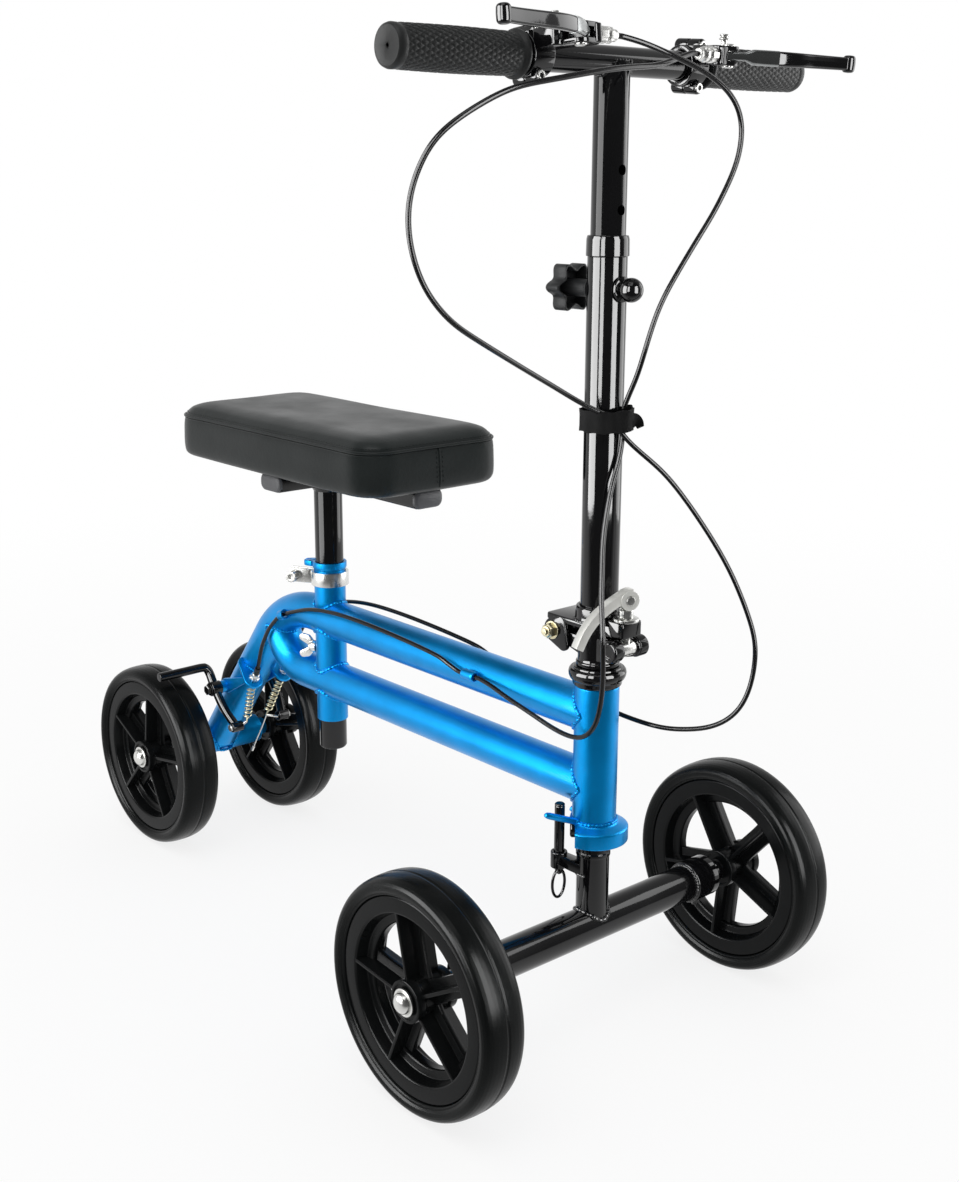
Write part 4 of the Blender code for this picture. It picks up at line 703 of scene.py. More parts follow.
seat_hole = rod(0.0152, (SEAT_X, 0, 0.15), (SEAT_X, 0, 0.40), 56)


def tube_beads(z):
    """The welds of a frame tube: above and below on the seat tube, and on the head tube."""
    beads = []
    for up in (1, -1):
        rim = circle(SEAT_R + 0.0003, 72)
        line = [Vector((SEAT_X + a, b, z + up * math.sqrt(FRAME_R**2 - b * b))) for a, b in rim]
        beads.append(bead(line, 0.0021, 0.0038))
    line = [head(-math.sqrt(max(HEAD_R**2 - a * a, 0)) - 0.0002, a, z + b) for a, b in circle(FRAME_R, 72)]
    return beads + [bead(line, 0.0019, 0.0036)]


fixings = []
for side in SIDES.values():
    profile = [(0.0031, 0), (0.0046, 0), (0.0049, 0.0015), (0.0049, 0.0135), (0.0043, 0.0158), (0.0031, 0.0158)]
    fixings.append(turned(profile, 0.0005, head(-0.1453, side * CABLE_Y, 0.301), AHEAD, 32))
    middle = tail(0.1779, side * CABLE_Y, 0.2927)
    profile = [(0.0036, -0.0045), (0.0054, -0.0045), (0.0054, 0.0045), (0.0036, 0.0045)]
    fixings.append(turned(profile, 0.0006, middle, (0.92848, 0, 0.37139), 32))
    for spot in (head(-0.1375, 0, 0.301), middle):
        line = [Vector((spot.x + a, side * 0.0195, spot.z + b * 0.5)) for a, b in circle(0.0052, 24)]
        fixings.append(bead(line, 0.0014, 0.0026))
leg_line = []
for c, y in circle(FRAME_R, 72):
    t = math.sqrt(max(CROSSBAR_R**2 - c * c, 0))
    x = t * math.cos(LEG_SLOPE) - c * math.sin(LEG_SLOPE)
    leg_line.append(tail(x, y, AXLE_Z + t * math.sin(LEG_SLOPE) + c * math.cos(LEG_SLOPE)))
dress(
    "upper_frame_tube", "blue", carve(coped(upper_path), seat_hole), *fixings, *tube_beads(UPPER_Z),
    bead(leg_line, 0.0018),
)


def off_upper(spot):
    """How far a point lies from the upper tube's centre line."""
    rise = spot.z - UPPER_Z
    if spot.x <= bend_x:
        rise = math.hypot(spot.x - bend_x, rise + BEND_R) - BEND_R
    return math.hypot(spot.y, rise)


# The lower tube's loop closes on the underside of the upper tube
loop_weld = []
for over, y in circle(FRAME_R, 72):
    for step in range(240):
        angle = math.radians(270 - step * 0.5)
        outward = Vector((math.cos(angle), 0, math.sin(angle)))
        spot = Vector((loop_x, y, LOWER_Z + LOOP_R)) + outward * (LOOP_R + over)
        if spot.z > LOWER_Z + 0.02 and off_upper(spot) < FRAME_R + 0.0002:
            break
    loop_weld.append(spot)
dress(
    "lower_frame_tube", "blue", carve(coped(lower_path), seat_hole), *tube_beads(LOWER_Z), bead(loop_weld, 0.0018),
)

# Seat tube with its slotted lip, clamp band and wing bolt
CLAMP_OUT = Vector((math.cos(math.radians(211)), math.sin(math.radians(211)), 0))
CLAMP_SIDE = Vector((-CLAMP_OUT.y, CLAMP_OUT.x, 0))
WING_OUT = Vector((math.cos(math.radians(210)), math.sin(math.radians(210)), 0))
WING_MID = Vector((SEAT_X, 0, 0.264))


def by_clamp(a, b, h):
    return Vector((SEAT_X, 0, h)) + CLAMP_OUT * a + CLAMP_SIDE * b


def by_wing(a, b, h):
    return WING_MID + WING_OUT * a + UP * b + WING_OUT.cross(UP) * h


def slit(start, end):
    return plate(strip(start, end, 0.0011), 0.338, 0.37, by_clamp, 0.0001)


profile = [(0.0146, 0.1885), (0.0159, 0.1885), (0.0159, 0.3485), (0.0174, 0.3515), (0.0174, 0.357), (0.0146, 0.357)]
ears = [(0.0150, -0.0085), (0.0215, -0.0070), (0.0270, -0.0045), (0.0270, 0.0045), (0.0215, 0.0070), (0.0150, 0.0085)]
wing_hole = rod(0.0034, WING_MID + WING_OUT * 0.010, WING_MID + WING_OUT * 0.03)
dress(
    "seat_tube", "blue", carve(turned(profile, 0.0007, SEAT_AXIS, UP, 64), slit(0.010, 0.024), wing_hole),
    carve(
        plate(softened(ears, 0.003, True, 4), 0.3512, 0.3570, by_clamp, 0.0009), slit(0.010, 0.024),
        slit(0.0, 0.03), rod(0.0150, (SEAT_X, 0, 0.34), (SEAT_X, 0, 0.37), 56),
    ),
)


def open_ring(radius, gap, steps=48):
    """A ring from one side of a gap round to the other."""
    angles = [gap + (TAU - 2 * gap) * step / steps for step in range(steps + 1)]
    return [(radius * math.cos(angle), radius * math.sin(angle)) for angle in angles]


EAR, BOLT_AT, BOLT_Z = 0.0425, 0.0372, 0.340
band = open_ring(0.0163, 0.085) + [(EAR, -0.0014), (EAR, -0.0048), (0.0222, -0.0048)]
band += open_ring(0.0192, 0.20)[::-1] + [(0.0222, 0.0048), (EAR, 0.0048), (EAR, 0.0014)]
nut = [(0, 0.0066), (0.0025, 0.0066), (0.0025, 0.0096), (0.0056, 0.0096), (0.0058, 0.0), (0, 0)]
dress(
    "seat_clamp", "zinc", plate(band, 0.3328, 0.3472, by_clamp, 0.0006),
    rod(0.0028, by_clamp(BOLT_AT, -0.0130, BOLT_Z), by_clamp(BOLT_AT, 0.011, BOLT_Z)),
    hex_head(by_clamp(BOLT_AT, -0.0049, BOLT_Z), -CLAMP_SIDE, 0.009, 0.0046),
    turned(nut, 0.0005, by_clamp(BOLT_AT, 0.0049, BOLT_Z), CLAMP_SIDE, 48, knurled(12, 0.05, 0.005)),
)
stem = [
    (0, 0.0149), (0.003, 0.0149), (0.003, 0.0162), (0.0064, 0.0162), (0.0062, 0.0205), (0.0050, 0.0245), (0, 0.0256),
]
wings = [turned(stem, 0.0008, WING_MID, WING_OUT, 32)]
for up in (-1, 1):
    blade = hull([(0.0208, up * 0.0024, 0.0036), (0.0318, up * 0.0088, 0.0040), (0.0262, up * 0.0082, 0.0036)])
    wings.append(plate(blade, -0.0017, 0.0017, by_wing, 0.0010))
dress("wing_bolt", "zinc", *wings)

# Seat post, bracket bars with their end plugs
BRACKET_Z = 0.4459
profile = [(0.0123, 0.159), (POST_R, 0.159), (POST_R, 0.4367), (0.0123, 0.4367)]
ring = [Vector((SEAT_X + a, b, 0.4366)) for a, b in circle(POST_R + 0.0004, 56)]
dress("seat_post", "black_paint", turned(profile, 0.0007, SEAT_AXIS, UP, 56), bead(ring, 0.0017))
cap = [(0, 0.157), (0.0125, 0.157), (0.0138, 0.1588), (0.0122, 0.1592), (0, 0.1592)]
piece("seat_post_plug", turned(cap, 0.0006, SEAT_AXIS), "black_plastic", body="seat")
bars = [
    swept([(SEAT_X, y, BRACKET_Z) for y in (-0.0665, 0.0, 0.0665)], lambda i: rectangle(0.0160, 0.0084, 0.0035), up=UP),
    swept([(x, 0, BRACKET_Z) for x in (-0.2115, SEAT_X, 0.0815)], lambda i: rectangle(0.0160, 0.0083, 0.0035), up=UP),
]
gusset = turned([(0.0145, 0.4300), (0.0185, 0.4372), (0.0145, 0.4385)], 0.0008, SEAT_AXIS)
piece("pad_bracket_bars", join(*bars, gusset), "black_paint", body="seat")
LENGTHS, SHRINK = [0.0, 0.0014, 0.0026, 0.0036, 0.0042], [0.0, 0.0, 0.0005, 0.0017, 0.0036]
plugs = []
for x, y, x_out, y_out in (
    (SEAT_X, -0.0655, 0, -1), (SEAT_X, 0.0655, 0, 1), (-0.2105, 0, -1, 0), (0.0805, 0, 1, 0),
):
    path = [Vector((x + x_out * length, y + y_out * length, BRACKET_Z)) for length in LENGTHS]
    plugs.append(swept(path, lambda i: rectangle(*[size - SHRINK[i] for size in (0.0168, 0.0087, 0.0072)]), up=UP))
piece("pad_bracket_plugs", join(*plugs), "grey_plastic", "pad_bracket")

# Rear cross tube with its spacers
half = [(0.0063, 0.0597), (0.010, 0.0597), (0.010, 0.0503), (CROSSBAR_R - 0.001, 0.0500), (CROSSBAR_R, 0.0490)]
dress("rear_cross_tube", "blue", turned(mirrored(half), 0.0007, REAR_AXLE, ACROSS, 56))

# Rear brakes
PIVOT_X, PIVOT_Z = 0.05677, 0.18352
TAB_X, TAB_Y, TAB_Z = PIVOT_X + 0.0522, 0.01955, PIVOT_Z + 0.0191
EYE_IN, EYE_OUT = 0.03035, 0.04255
EYE_MID = (EYE_IN + EYE_OUT) / 2
SCRUB_X, SCRUB_Z = PIVOT_X - 0.0132, 0.20588
FOOT_X, FOOT_Z = PIVOT_X + 0.0317, PIVOT_Z - 0.0379
TAB_UP = Vector((math.cos(LEG_SLOPE), 0, math.sin(LEG_SLOPE)))
TAB_AHEAD = Vector((math.sin(LEG_SLOPE), 0, -math.cos(LEG_SLOPE)))
SPRING_FOOT = {"right": tail(0.0945, -0.0205, 0.1512), "left": tail(0.0860, 0.0105, 0.1495)}
leg_cut = tube(upper_path, FRAME_R + 0.0002, 40)
for name, side in SIDES.items():
    out = ACROSS * side
    pivot = tail(PIVOT_X, 0, PIVOT_Z)

    def on_tab(a, b, h, side=side):
        """A point on the tab, which stands square to the leg."""
        return tail(TAB_X, side * TAB_Y, TAB_Z) + TAB_AHEAD * a + ACROSS * b + TAB_UP * h

    web = hull([(REAR_X + PIVOT_X, PIVOT_Z, 0.0085), (REAR_X + TAB_X - 0.0078, TAB_Z - 0.0006, 0.0025)])
    tab = plate(hull([(0, 0, 0.0108), (-0.022, -side * 0.003, 0.0095)]), -0.002, 0.002, on_tab, 0.0009)
    stud = [(0, 0.0225), (0.0068, 0.0225), (0.0068, EYE_IN - 0.0004), (0.004, EYE_IN - 0.0004)]
    stud += [(0.004, EYE_OUT + 0.003), (0, EYE_OUT + 0.003)]
    seam = []
    for k in range(12):
        y = TAB_Y - 0.0125 + 0.0115 * k / 11
        seam.append(on_tab(math.sqrt(FRAME_R**2 - y * y) - 0.0237, side * (y - TAB_Y), 0.0022))
    dress(
        name + "_brake_bracket", "blue", plate(web, TAB_Y, TAB_Y + 0.004, sideways(side), 0.0008),
        carve(tab, leg_cut, rod(0.0039, on_tab(0, 0, -0.02), on_tab(0, 0, 0.02))),
        turned(stud, 0.0005, pivot, out, 32), bead(seam, 0.0013, 0.0024, False),
    )
    nut_at = pivot + out * (EYE_OUT + 0.0003)
    nut = hex_head(nut_at + out * 0.0008, out, 0.010, 0.0042)
    washer = rod(0.0068, nut_at, nut_at + out * 0.0011, 32, 0.0003)
    piece(name + "_brake_pivot_nut", join(nut, washer), "black_paint", body="frame")

    route = [
        tail(x, side * y, z) for x, y, z in (
            (FOOT_X, EYE_MID - 0.006, FOOT_Z), (PIVOT_X + 0.016, EYE_MID - 0.0008, PIVOT_Z - 0.0192),
            (PIVOT_X, EYE_MID, PIVOT_Z), (SCRUB_X + 0.0038, EYE_MID + 0.0004, SCRUB_Z - 0.0075),
            (SCRUB_X + 0.0008, EYE_MID + 0.0032, SCRUB_Z - 0.0013), (SCRUB_X, EYE_MID + 0.0085, SCRUB_Z),
            (SCRUB_X, 0.065, SCRUB_Z), (SCRUB_X, 0.0975, SCRUB_Z),
        )
    ]
    foot = route[0]
    eye = [(0.0043, EYE_IN), (0.0080, EYE_IN), (0.0080, EYE_OUT), (0.0043, EYE_OUT)]
    dress(
        name + "_brake_arm", "black_paint",
        carve(tube(flowing(route, 0.0025), 0.0049, 24), rod(0.0043, pivot + out * 0.02, pivot + out * 0.06)),
        turned(eye, 0.0008, pivot, out, 40),
        rod(0.0056, foot + Vector((0.001, -side * 0.0070, 0.0006)), foot + out * 0.0062, 28, 0.001),
        rod(0.0045, tail(SCRUB_X, side * 0.0972, SCRUB_Z), tail(SCRUB_X, side * 0.0981, SCRUB_Z), 24, 0.0005),
    )
    spring_top, spring_foot = on_tab(0, 0, -0.0032), SPRING_FOOT[name]
    hook = [foot + Vector((0.001, -side * 0.0066, 0)), foot.lerp(spring_foot, 0.6) - UP * 0.0012, spring_foot]
    trim = join(hex_head(foot + out * 0.0060, out, 0.0072, 0.0026), tube(flowing(hook, 0.001), 0.0013, 12))
    piece(name + "_brake_arm_trim", trim, "zinc", body=name + "_arm")

    profile = [(0, -0.0036), (0.0035, -0.0036), (0.0035, 0.0023), (0.0056, 0.0023), (0.0056, 0.0060), (0.0042, 0.0064)]
    profile += [(0.0042, 0.0110), (0.0034, 0.0116), (0, 0.0116)]
    adjuster = turned(profile, 0.0005, on_tab(0, 0, 0), TAB_UP, 56, knurled(14, 0.05, 0.0045))
    dress(name + "_brake_adjuster", "zinc", adjuster)

    spring = coil(spring_top, spring_foot, 0.0038, 0.0008, 9)
    spring = dress(name + "_brake_spring", "spring_plate", spring, body="")
    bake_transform(spring)
    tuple(spring_top)
    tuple(spring_foot)
wire_foot, wire_tip = SPRING_FOOT["left"] - UP * 0.0012, tail(0.068, 0.002, 0.1038)
wire = [wire_foot, wire_foot.lerp(wire_tip, 0.3) + AHEAD * 0.0006, wire_foot.lerp(wire_tip, 0.65), wire_tip]
wire = flowing(wire, 0.002)
wire_parts = [tube(wire, 0.0008, 10), rod(0.0015, wire[-4], wire[-1], 16)]
piece("left_brake_wire_end", join(*wire_parts), "silver_tube", body="left_arm")

# Lock pin and ring
RING_Z = 0.1515
profile = [(0, 0.1570), (0.0045, 0.1570), (0.0045, 0.2112), (0.0042, 0.2116), (0.0042, 0.2120), (0.0045, 0.2124)]
profile += [(0.0044, 0.2132), (0.0034, 0.2140), (0, 0.2141)]
eye_tab = hull([(PIN.x, RING_Z, 0.0042), (PIN.x, 0.1585, 0.0043)])
eye_tab = plate(eye_tab, PIN.y - 0.0012, PIN.y + 0.0012, upright, 0.0004)
ring_hole = rod(0.0019, (PIN.x, PIN.y - 0.01, RING_Z), (PIN.x, PIN.y + 0.01, RING_Z))
dress("steering_lock_pin", "black_paint", turned(profile, 0.0003, PIN, UP, 36), carve(eye_tab, ring_hole))
ring = [Vector((PIN.x, PIN.y + 0.0074 * b, RING_Z - 0.0130 + 0.0130 * a)) for a, b in circle(1, 72)]
dress("lock_pin_ring", "black_paint", tube(ring, 0.0013, 14, True))

# Upper headset cup
profile = [
    (STEER_R + 0.0003, 0.3228), (0.0200, 0.3228), (0.0208, 0.3240), (0.0214, 0.3276), (0.0232, 0.3292),
    (0.0243, 0.3318), (0.0246, 0.3345), (0.0240, 0.3368), (0.0226, 0.3382), (0.0208, 0.3380),
    (0.0204, 0.3396), (0.0188, 0.3400), (STEER_R + 0.0003, 0.3400),
]
dress("upper_headset_cup", "black_paint", turned(profile, 0.0006, HEAD_AXIS, UP, 64))

# Fold joint, lower half
CHEEK = 0.0158
HINGE, LATCH = head(-0.035, 0, 0.366), head(0.031, 0, 0.361)
profile = [
    (0.0146, 0.3403), (0.0178, 0.3403), (0.0185, 0.3412), (0.0185, 0.3440), (0.0172, 0.3450), (0.0170, 0.3480),
    (0.0170, 0.3742), (0, 0.3742), (0, 0.3453), (0.0146, 0.3453),
]
lower = [lathe(softened(profile, 0.0006), HEAD_AXIS, UP, 56)]
boss = [
    (0, 0.0100), (0.0091, 0.0100), (0.0091, 0.0190), (0.0080, 0.0202), (0.0052, 0.0202), (0.0048, 0.0192), (0, 0.0192),
]
lug = hull([(LATCH.x, LATCH.z, 0.0085), (HEAD_X + 0.012, 0.351, 0.004), (HEAD_X + 0.012, LATCH.z, 0.006)])
for side in SIDES.values():
    lower.append(plate(lug, 0.008, 0.013, sideways(side), 0.0012))
    lower.append(turned(boss, 0.0006, LATCH, ACROSS * side, 48))
web = [(HINGE.x - 0.002, 0.3588), (HEAD_X - 0.006, 0.350), (HEAD_X - 0.006, 0.366), (HINGE.x, 0.366)]
lower.append(plate(web, -0.0150, 0.0150, upright, 0.0010))
lower.append(rod(0.008, HINGE - ACROSS * (CHEEK - 0.0003), HINGE + ACROSS * (CHEEK - 0.0003), 40, 0.0006))
dress("lower_fold_bracket", "black_paint", *lower)

# Fold joint, upper half
PLATE_LOW, PLATE_TOP = 0.3745, 0.3800
shape = [(HEAD_X, 0, 0.0195)]
for side in SIDES.values():
    shape += [(HINGE.x + u, side * (CHEEK + 0.0038 - 0.0045), 0.0045) for u in (-0.0045, 0.014)]
upper = [plate(hull(shape, 48), PLATE_LOW, PLATE_TOP, flat, 0.0013)]
nose = [
    (HEAD_X - 0.003, PLATE_LOW), (HEAD_X + 0.0185, PLATE_LOW), (HEAD_X + 0.0185, PLATE_LOW - 0.0035),
    (HEAD_X + 0.0255, PLATE_LOW - 0.0035), (HEAD_X + 0.0222, PLATE_TOP - 0.0003), (HEAD_X - 0.003, PLATE_TOP - 0.0003),
]
upper.append(plate(softened(nose, 0.0008, True, 3), -0.011, 0.011, upright, 0.0007))
cheek = hull([
    (HINGE.x, 0.366, 0.0105), (HINGE.x + 0.012, 0.356, 0.006), (HINGE.x + 0.008, PLATE_TOP - 0.007, 0.0065),
])
upper += [plate(cheek, CHEEK, CHEEK + 0.004, sideways(side), 0.0011) for side in SIDES.values()]
profile = [
    (COLUMN_R + 0.0003, 0.3795), (0.0206, 0.3795), (0.0199, 0.3830), (0.0197, 0.3905), (0.0186, 0.3922),
    (COLUMN_R + 0.0003, 0.3922),
]
upper.append(turned(profile, 0.0008, HEAD_AXIS, UP, 56))
upper.append(bead([head(a, b, 0.3803) for a, b in circle(0.0203, 56)], 0.0014))
dress("upper_fold_bracket", "black_paint", *upper)
bolt = [rod(0.0030, HINGE - ACROSS * (CHEEK + 0.0142), HINGE + ACROSS * (CHEEK + 0.008))]
for side, thick in ((-1, 0.0058), (1, 0.0042)):
    out = ACROSS * side
    spot = HINGE + out * (CHEEK + 0.0041)
    bolt += [rod(0.0078, spot, spot + out * 0.0010, 32, 0.0003), hex_head(spot + out * 0.0008, out, 0.0115, thick)]
tip = [(0, 0), (0.0052, 0), (0.0046, 0.0016), (0, 0.0018)]
bolt.append(turned(tip, 0.0004, HINGE - ACROSS * (CHEEK + 0.0105), -ACROSS, 32))
dress("fold_hinge_bolt", "spring_plate", *bolt)

# Swing bolt, saddle block and cam lever
eye = [(0.0033, -0.0077), (0.0065, -0.0077), (0.0065, 0.0077), (0.0033, 0.0077)]
washer = [(0, 0.3848), (0.0108, 0.3848), (0.0108, 0.3872), (0.0070, 0.3884), (0, 0.3884)]


def thread(radius, height, angle):
    return radius * (1 + 0.05 * math.sin(TAU * height / 0.0010 + angle)) if radius > 0.0035 else radius


shank = [(0, 0.005)] + [(0.0040, 0.005 + 0.00025 * k) for k in range(118)] + [(0, 0.0342)]
dress(
    "latch_bolt", "zinc", turned(eye, 0.0008, LATCH, ACROSS, 40), lathe(shank, LATCH, UP, 20, thread),
    turned(washer, 0.0006, (LATCH.x, 0, 0)), rod(0.0062, (LATCH.x, 0, 0.3880), (LATCH.x, 0, 0.3945), 40, 0.0006),
)
saddle = [
    (HEAD_X + 0.0258, 0.3716), (HEAD_X + 0.0382, 0.3716), (HEAD_X + 0.0382, 0.3850), (HEAD_X + 0.0204, 0.3850),
]
block = plate(softened(saddle, 0.0016, True, 4), -0.0112, 0.0112, upright, 0.0012)
piece("latch_saddle", block, "black_paint", body="latch")
CAM = head(0.032, 0, 0.403)
CAM_AXIS = Vector((math.cos(math.radians(18)), -math.sin(math.radians(18)), 0))
line = flowing([CAM + Vector(spot) for spot in (
    (0.0006, 0.0030, 0.0092), (-0.0006, -0.0019, 0.0088), (-0.0041, -0.0140, 0.0025), (-0.0071, -0.0239, -0.0041),
    (-0.0097, -0.0327, -0.0117), (-0.0120, -0.0406, -0.0223), (-0.0138, -0.0467, -0.0351),
)], 0.002)
total = len(line) - 1
rings = []
for index, spot in enumerate(line):
    # A pressed channel: a floor with two walls that run out towards the tip
    wide = 0.0044 + 0.0004 * index / total
    wall, thick = 0.0084 - 0.0014 * index / total, 0.0014
    outline = [(-wide, 0.0), (wide, 0.0), (wide, -wall), (wide - thick, -wall), (wide - thick, -thick)]
    outline += [(-wide + thick, -thick), (-wide + thick, -wall), (-wide, -wall)]
    run = (line[min(index + 1, total)] - line[max(index - 1, 0)]).normalized()
    across = (CAM_AXIS - run * CAM_AXIS.dot(run)).normalized()
    over = across.cross(run)
    if over.z < 0:
        over = -over
    rings.append([spot + across * a + over * b for a, b in softened(outline, 0.0005, True, 2)])
lever_parts = [skin(rings)]
for sign in (-1, 1):
    ear = [(0.0040, 0.0036), (0.0084, 0.0036), (0.0084, 0.0056), (0.0040, 0.0056)]
    lever_parts.append(turned(ear, 0.0004, CAM, CAM_AXIS * sign, 48, steps=3))
dress("latch_lever", "cast_lever", *lever_parts)
dowel = [(0, -0.0066), (0.0039, -0.0066), (0.0039, 0.0068), (0, 0.0068)]
piece("latch_cam_pin", turned(dowel, 0.0007, CAM, CAM_AXIS, 32), "zinc", body="latch_handle")

# Column, collar, height pin and star knob
PIN_Z, KNOB_Z = 0.6505, 0.6495
profile = [(0.0143, 0.3807), (COLUMN_R, 0.3807), (COLUMN_R, 0.6752), (0.0143, 0.6752)]
dress("column_tube", "black_paint", turned(profile, 0.0005, HEAD_AXIS, UP, 64))
profile = [(0.0143, 0.6755), (0.0171, 0.6755), (0.0172, 0.6765), (0.0170, 0.6885), (0.0162, 0.6915), (0.0143, 0.6915)]
dress("column_collar", "black_paint", turned(profile, 0.0007, HEAD_AXIS, UP, 64))
profile = [(0, 0.0146), (0.0038, 0.0146), (0.0038, 0.0163), (0.0098, 0.0163), (0.0102, 0.0172), (0.0098, 0.0186)]
profile += [(0.0070, 0.0196), (0.0062, 0.0200)]
for angle in range(-46, 90, 8):
    profile.append((0.0096 * math.cos(math.radians(angle)), 0.0266 + 0.0095 * math.sin(math.radians(angle))))
dress("height_pull_pin", "black_paint", turned(profile + [(0, 0.0361)], 0.0004, head(0, 0, PIN_Z), AHEAD))
star = []
for a, b in circle(1, 144):
    wave = 0.5 + 0.5 * math.cos(6 * math.atan2(b, a))
    reach = 0.0208 * (0.71 + 0.29 * wave**1.2)
    star.append((reach * a, reach * b, reach))
cup = []
for shrink, h in (
    (0.0100, 0.0452), (0.0026, 0.0450), (0.0023, 0.0348), (0.0017, 0.0340), (0.0007, 0.0340), (0, 0.0348),
    (0, 0.0478), (0.0008, 0.0490), (0.0024, 0.0497), (0.0080, 0.0500),
):
    cup.append([head(-h, a * (1 - shrink / reach), KNOB_Z + b * (1 - shrink / reach)) for a, b, reach in star])
profile = [(0, 0.0146), (0.004, 0.0146), (0.004, 0.0165), (0.0082, 0.0165), (0.0082, 0.0180), (0.0070, 0.0190)]
profile += [(0.0072, 0.0455), (0, 0.0455)]
dress("star_knob", "black_plastic", skin(cup), turned(profile, 0.0006, head(0, 0, KNOB_Z), -AHEAD, 56))

# Cable strap: a web band round the column and the cables, with a free tail
BAND_MID = head(0.0036, 0, 0.548)
BAND_START, BAND_TURN, LAPS = -0.55, TAU + 0.75, 90
rings = []
for step in range(LAPS + 1):
    share = step / LAPS
    angle = BAND_START + share * BAND_TURN
    out = 0.0200 + 0.0014 * max(0, share * BAND_TURN - TAU + 0.25) / 0.75
    drift = 0.0006 * math.sin(5 * angle) + 0.0004 * math.sin(11 * angle + 1)
    edge = 0.0086 - 0.0004 * math.sin(9 * angle)
    ring = []
    for height, proud in (
        (-edge, 0.0002), (-0.0040, 0), (0.0040, 0), (edge, 0.0004), (edge, 0.0017), (0.0040, 0.0015),
        (-0.0040, 0.0015), (-edge, 0.0015),
    ):
        reach = out + drift * (0.4 + abs(height) * 60) + proud
        ring.append(Vector((reach * math.cos(angle), reach * math.sin(angle), height + 0.0010 * math.sin(angle))))
    rings.append([BAND_MID + spot for spot in ring])
angle = BAND_START + BAND_TURN
out, along = Vector((math.cos(angle), math.sin(angle), 0)), Vector((-math.sin(angle), math.cos(angle), 0))
tail_line = flowing([BAND_MID + out * (0.0222 + away) + along * on - UP * drop for on, away, drop in (
    (-0.002, 0, 0), (0.003, 0.0003, 0), (0.0065, 0.0009, 0), (0.0088, 0.0022, 0.0022), (0.0098, 0.0038, 0.0060),
)], 0.0012)
flap = swept(tail_line, lambda i: rectangle(0.0008, 0.0076 - 0.0050 * i / len(tail_line), 0.0007, steps=2), up=UP)
dress("cable_tie", "strap_web", skin(rings), flap, sharp=50)

# Handlebar post and bar
profile = [(0.0120, 0.475), (BAR_POST_R, 0.475), (BAR_POST_R, BAR_Z), (0.0120, BAR_Z)]
cuts = [rod(BAR_R - 0.0004, (HEAD_X, -0.05, BAR_Z), (HEAD_X, 0.05, BAR_Z), 48)]
cuts += [rod(0.004, head(0.006, 0, PIN_Z + 0.03 * k), head(0.03, 0, PIN_Z + 0.03 * k), 28) for k in range(-1, 4)]
saddle = []
for x, y in circle(BAR_POST_R, 64):
    saddle.append(head(max(-BAR_R, min(BAR_R, x)), y, BAR_Z - math.sqrt(max(BAR_R**2 - x * x, 0))))
post = carve(turned(profile, 0.0005, HEAD_AXIS, UP, 64), *cuts)
dress("handlebar_post", "black_paint", post, bead(saddle, 0.0016))
dress("handlebar", "black_paint", rod(BAR_R, (HEAD_X, -0.214, BAR_Z), (HEAD_X, 0.214, BAR_Z), 64, 0))

# Grips, with a raised diamond pattern
GRIP_START, GRIP_END, GRIP_RINGS = 0.098, 0.2165, 168
FIRST, LAST = GRIP_START + 0.0065, GRIP_END - 0.0075
rings = [(radius, GRIP_START + h) for radius, h in (
    (BAR_R + 0.0003, 0), (0.0166, 0), (0.0175, 0.0009), (0.0175, 0.0033), (0.0164, 0.0044), (0.0152, 0.0052),
)]
rings += [(0.0150, FIRST + (LAST - FIRST) * k / GRIP_RINGS) for k in range(GRIP_RINGS + 1)]
rings += [(radius, GRIP_END - h) for radius, h in (
    (0.0153, 0.0068), (0.0154, 0.0030), (0.0146, 0.0008), (0.0136, 0.0001), (0.0128, 0.0005), (0.0030, 0.0004),
    (0.0026, 0.0010), (0, 0.0011),
)]


def diamonds(radius, height, angle):
    """Raised diamonds between crossing grooves, fading out at both ends of the pattern."""
    if not FIRST <= height <= LAST:
        return radius
    a = 22 * angle / TAU
    b = (height - FIRST) / 0.0043
    rise = min(abs(math.sin(math.pi * (a + b * 0.5))), abs(math.sin(math.pi * (a - b * 0.5))))
    ends = min(1, (height - FIRST) / 0.003, (LAST - height) / 0.003)
    swell = 0.0006 * math.sin(math.pi * (height - FIRST) / (LAST - FIRST))
    return radius + swell + (min(rise * 1.7, 1) * 0.0008 - 0.0004) * ends


for name, side in SIDES.items():
    dress(name + "_grip", "grip", lathe(rings, head(0, 0, BAR_Z), ACROSS * side, 132, diamonds), sharp=60)

# Lever perches, levers, adjusters and parking pins
LEVER_U, LEVER_Y, LEVER_Z = 0.046, 0.079, 0.829
EAR_TOP, EAR_LOW, LUG_Y, LUG_RISE = 0.8363, 0.8217, 0.0870, 0.0158
PERCH_TURN = {"right": math.radians(5.5), "left": math.radians(-4.5)}


def on_bar(name, spot):
    """A point turned about the handlebar with its perch."""
    turn = PERCH_TURN[name]
    u, rise = spot.x - HEAD_X, spot.z - BAR_Z
    u, rise = u * math.cos(turn) - rise * math.sin(turn), u * math.sin(turn) + rise * math.cos(turn)
    return head(u, spot.y, BAR_Z + rise)


def perched(name, *shells):
    points, faces = join(*shells)
    return [on_bar(name, point) for point in points], faces


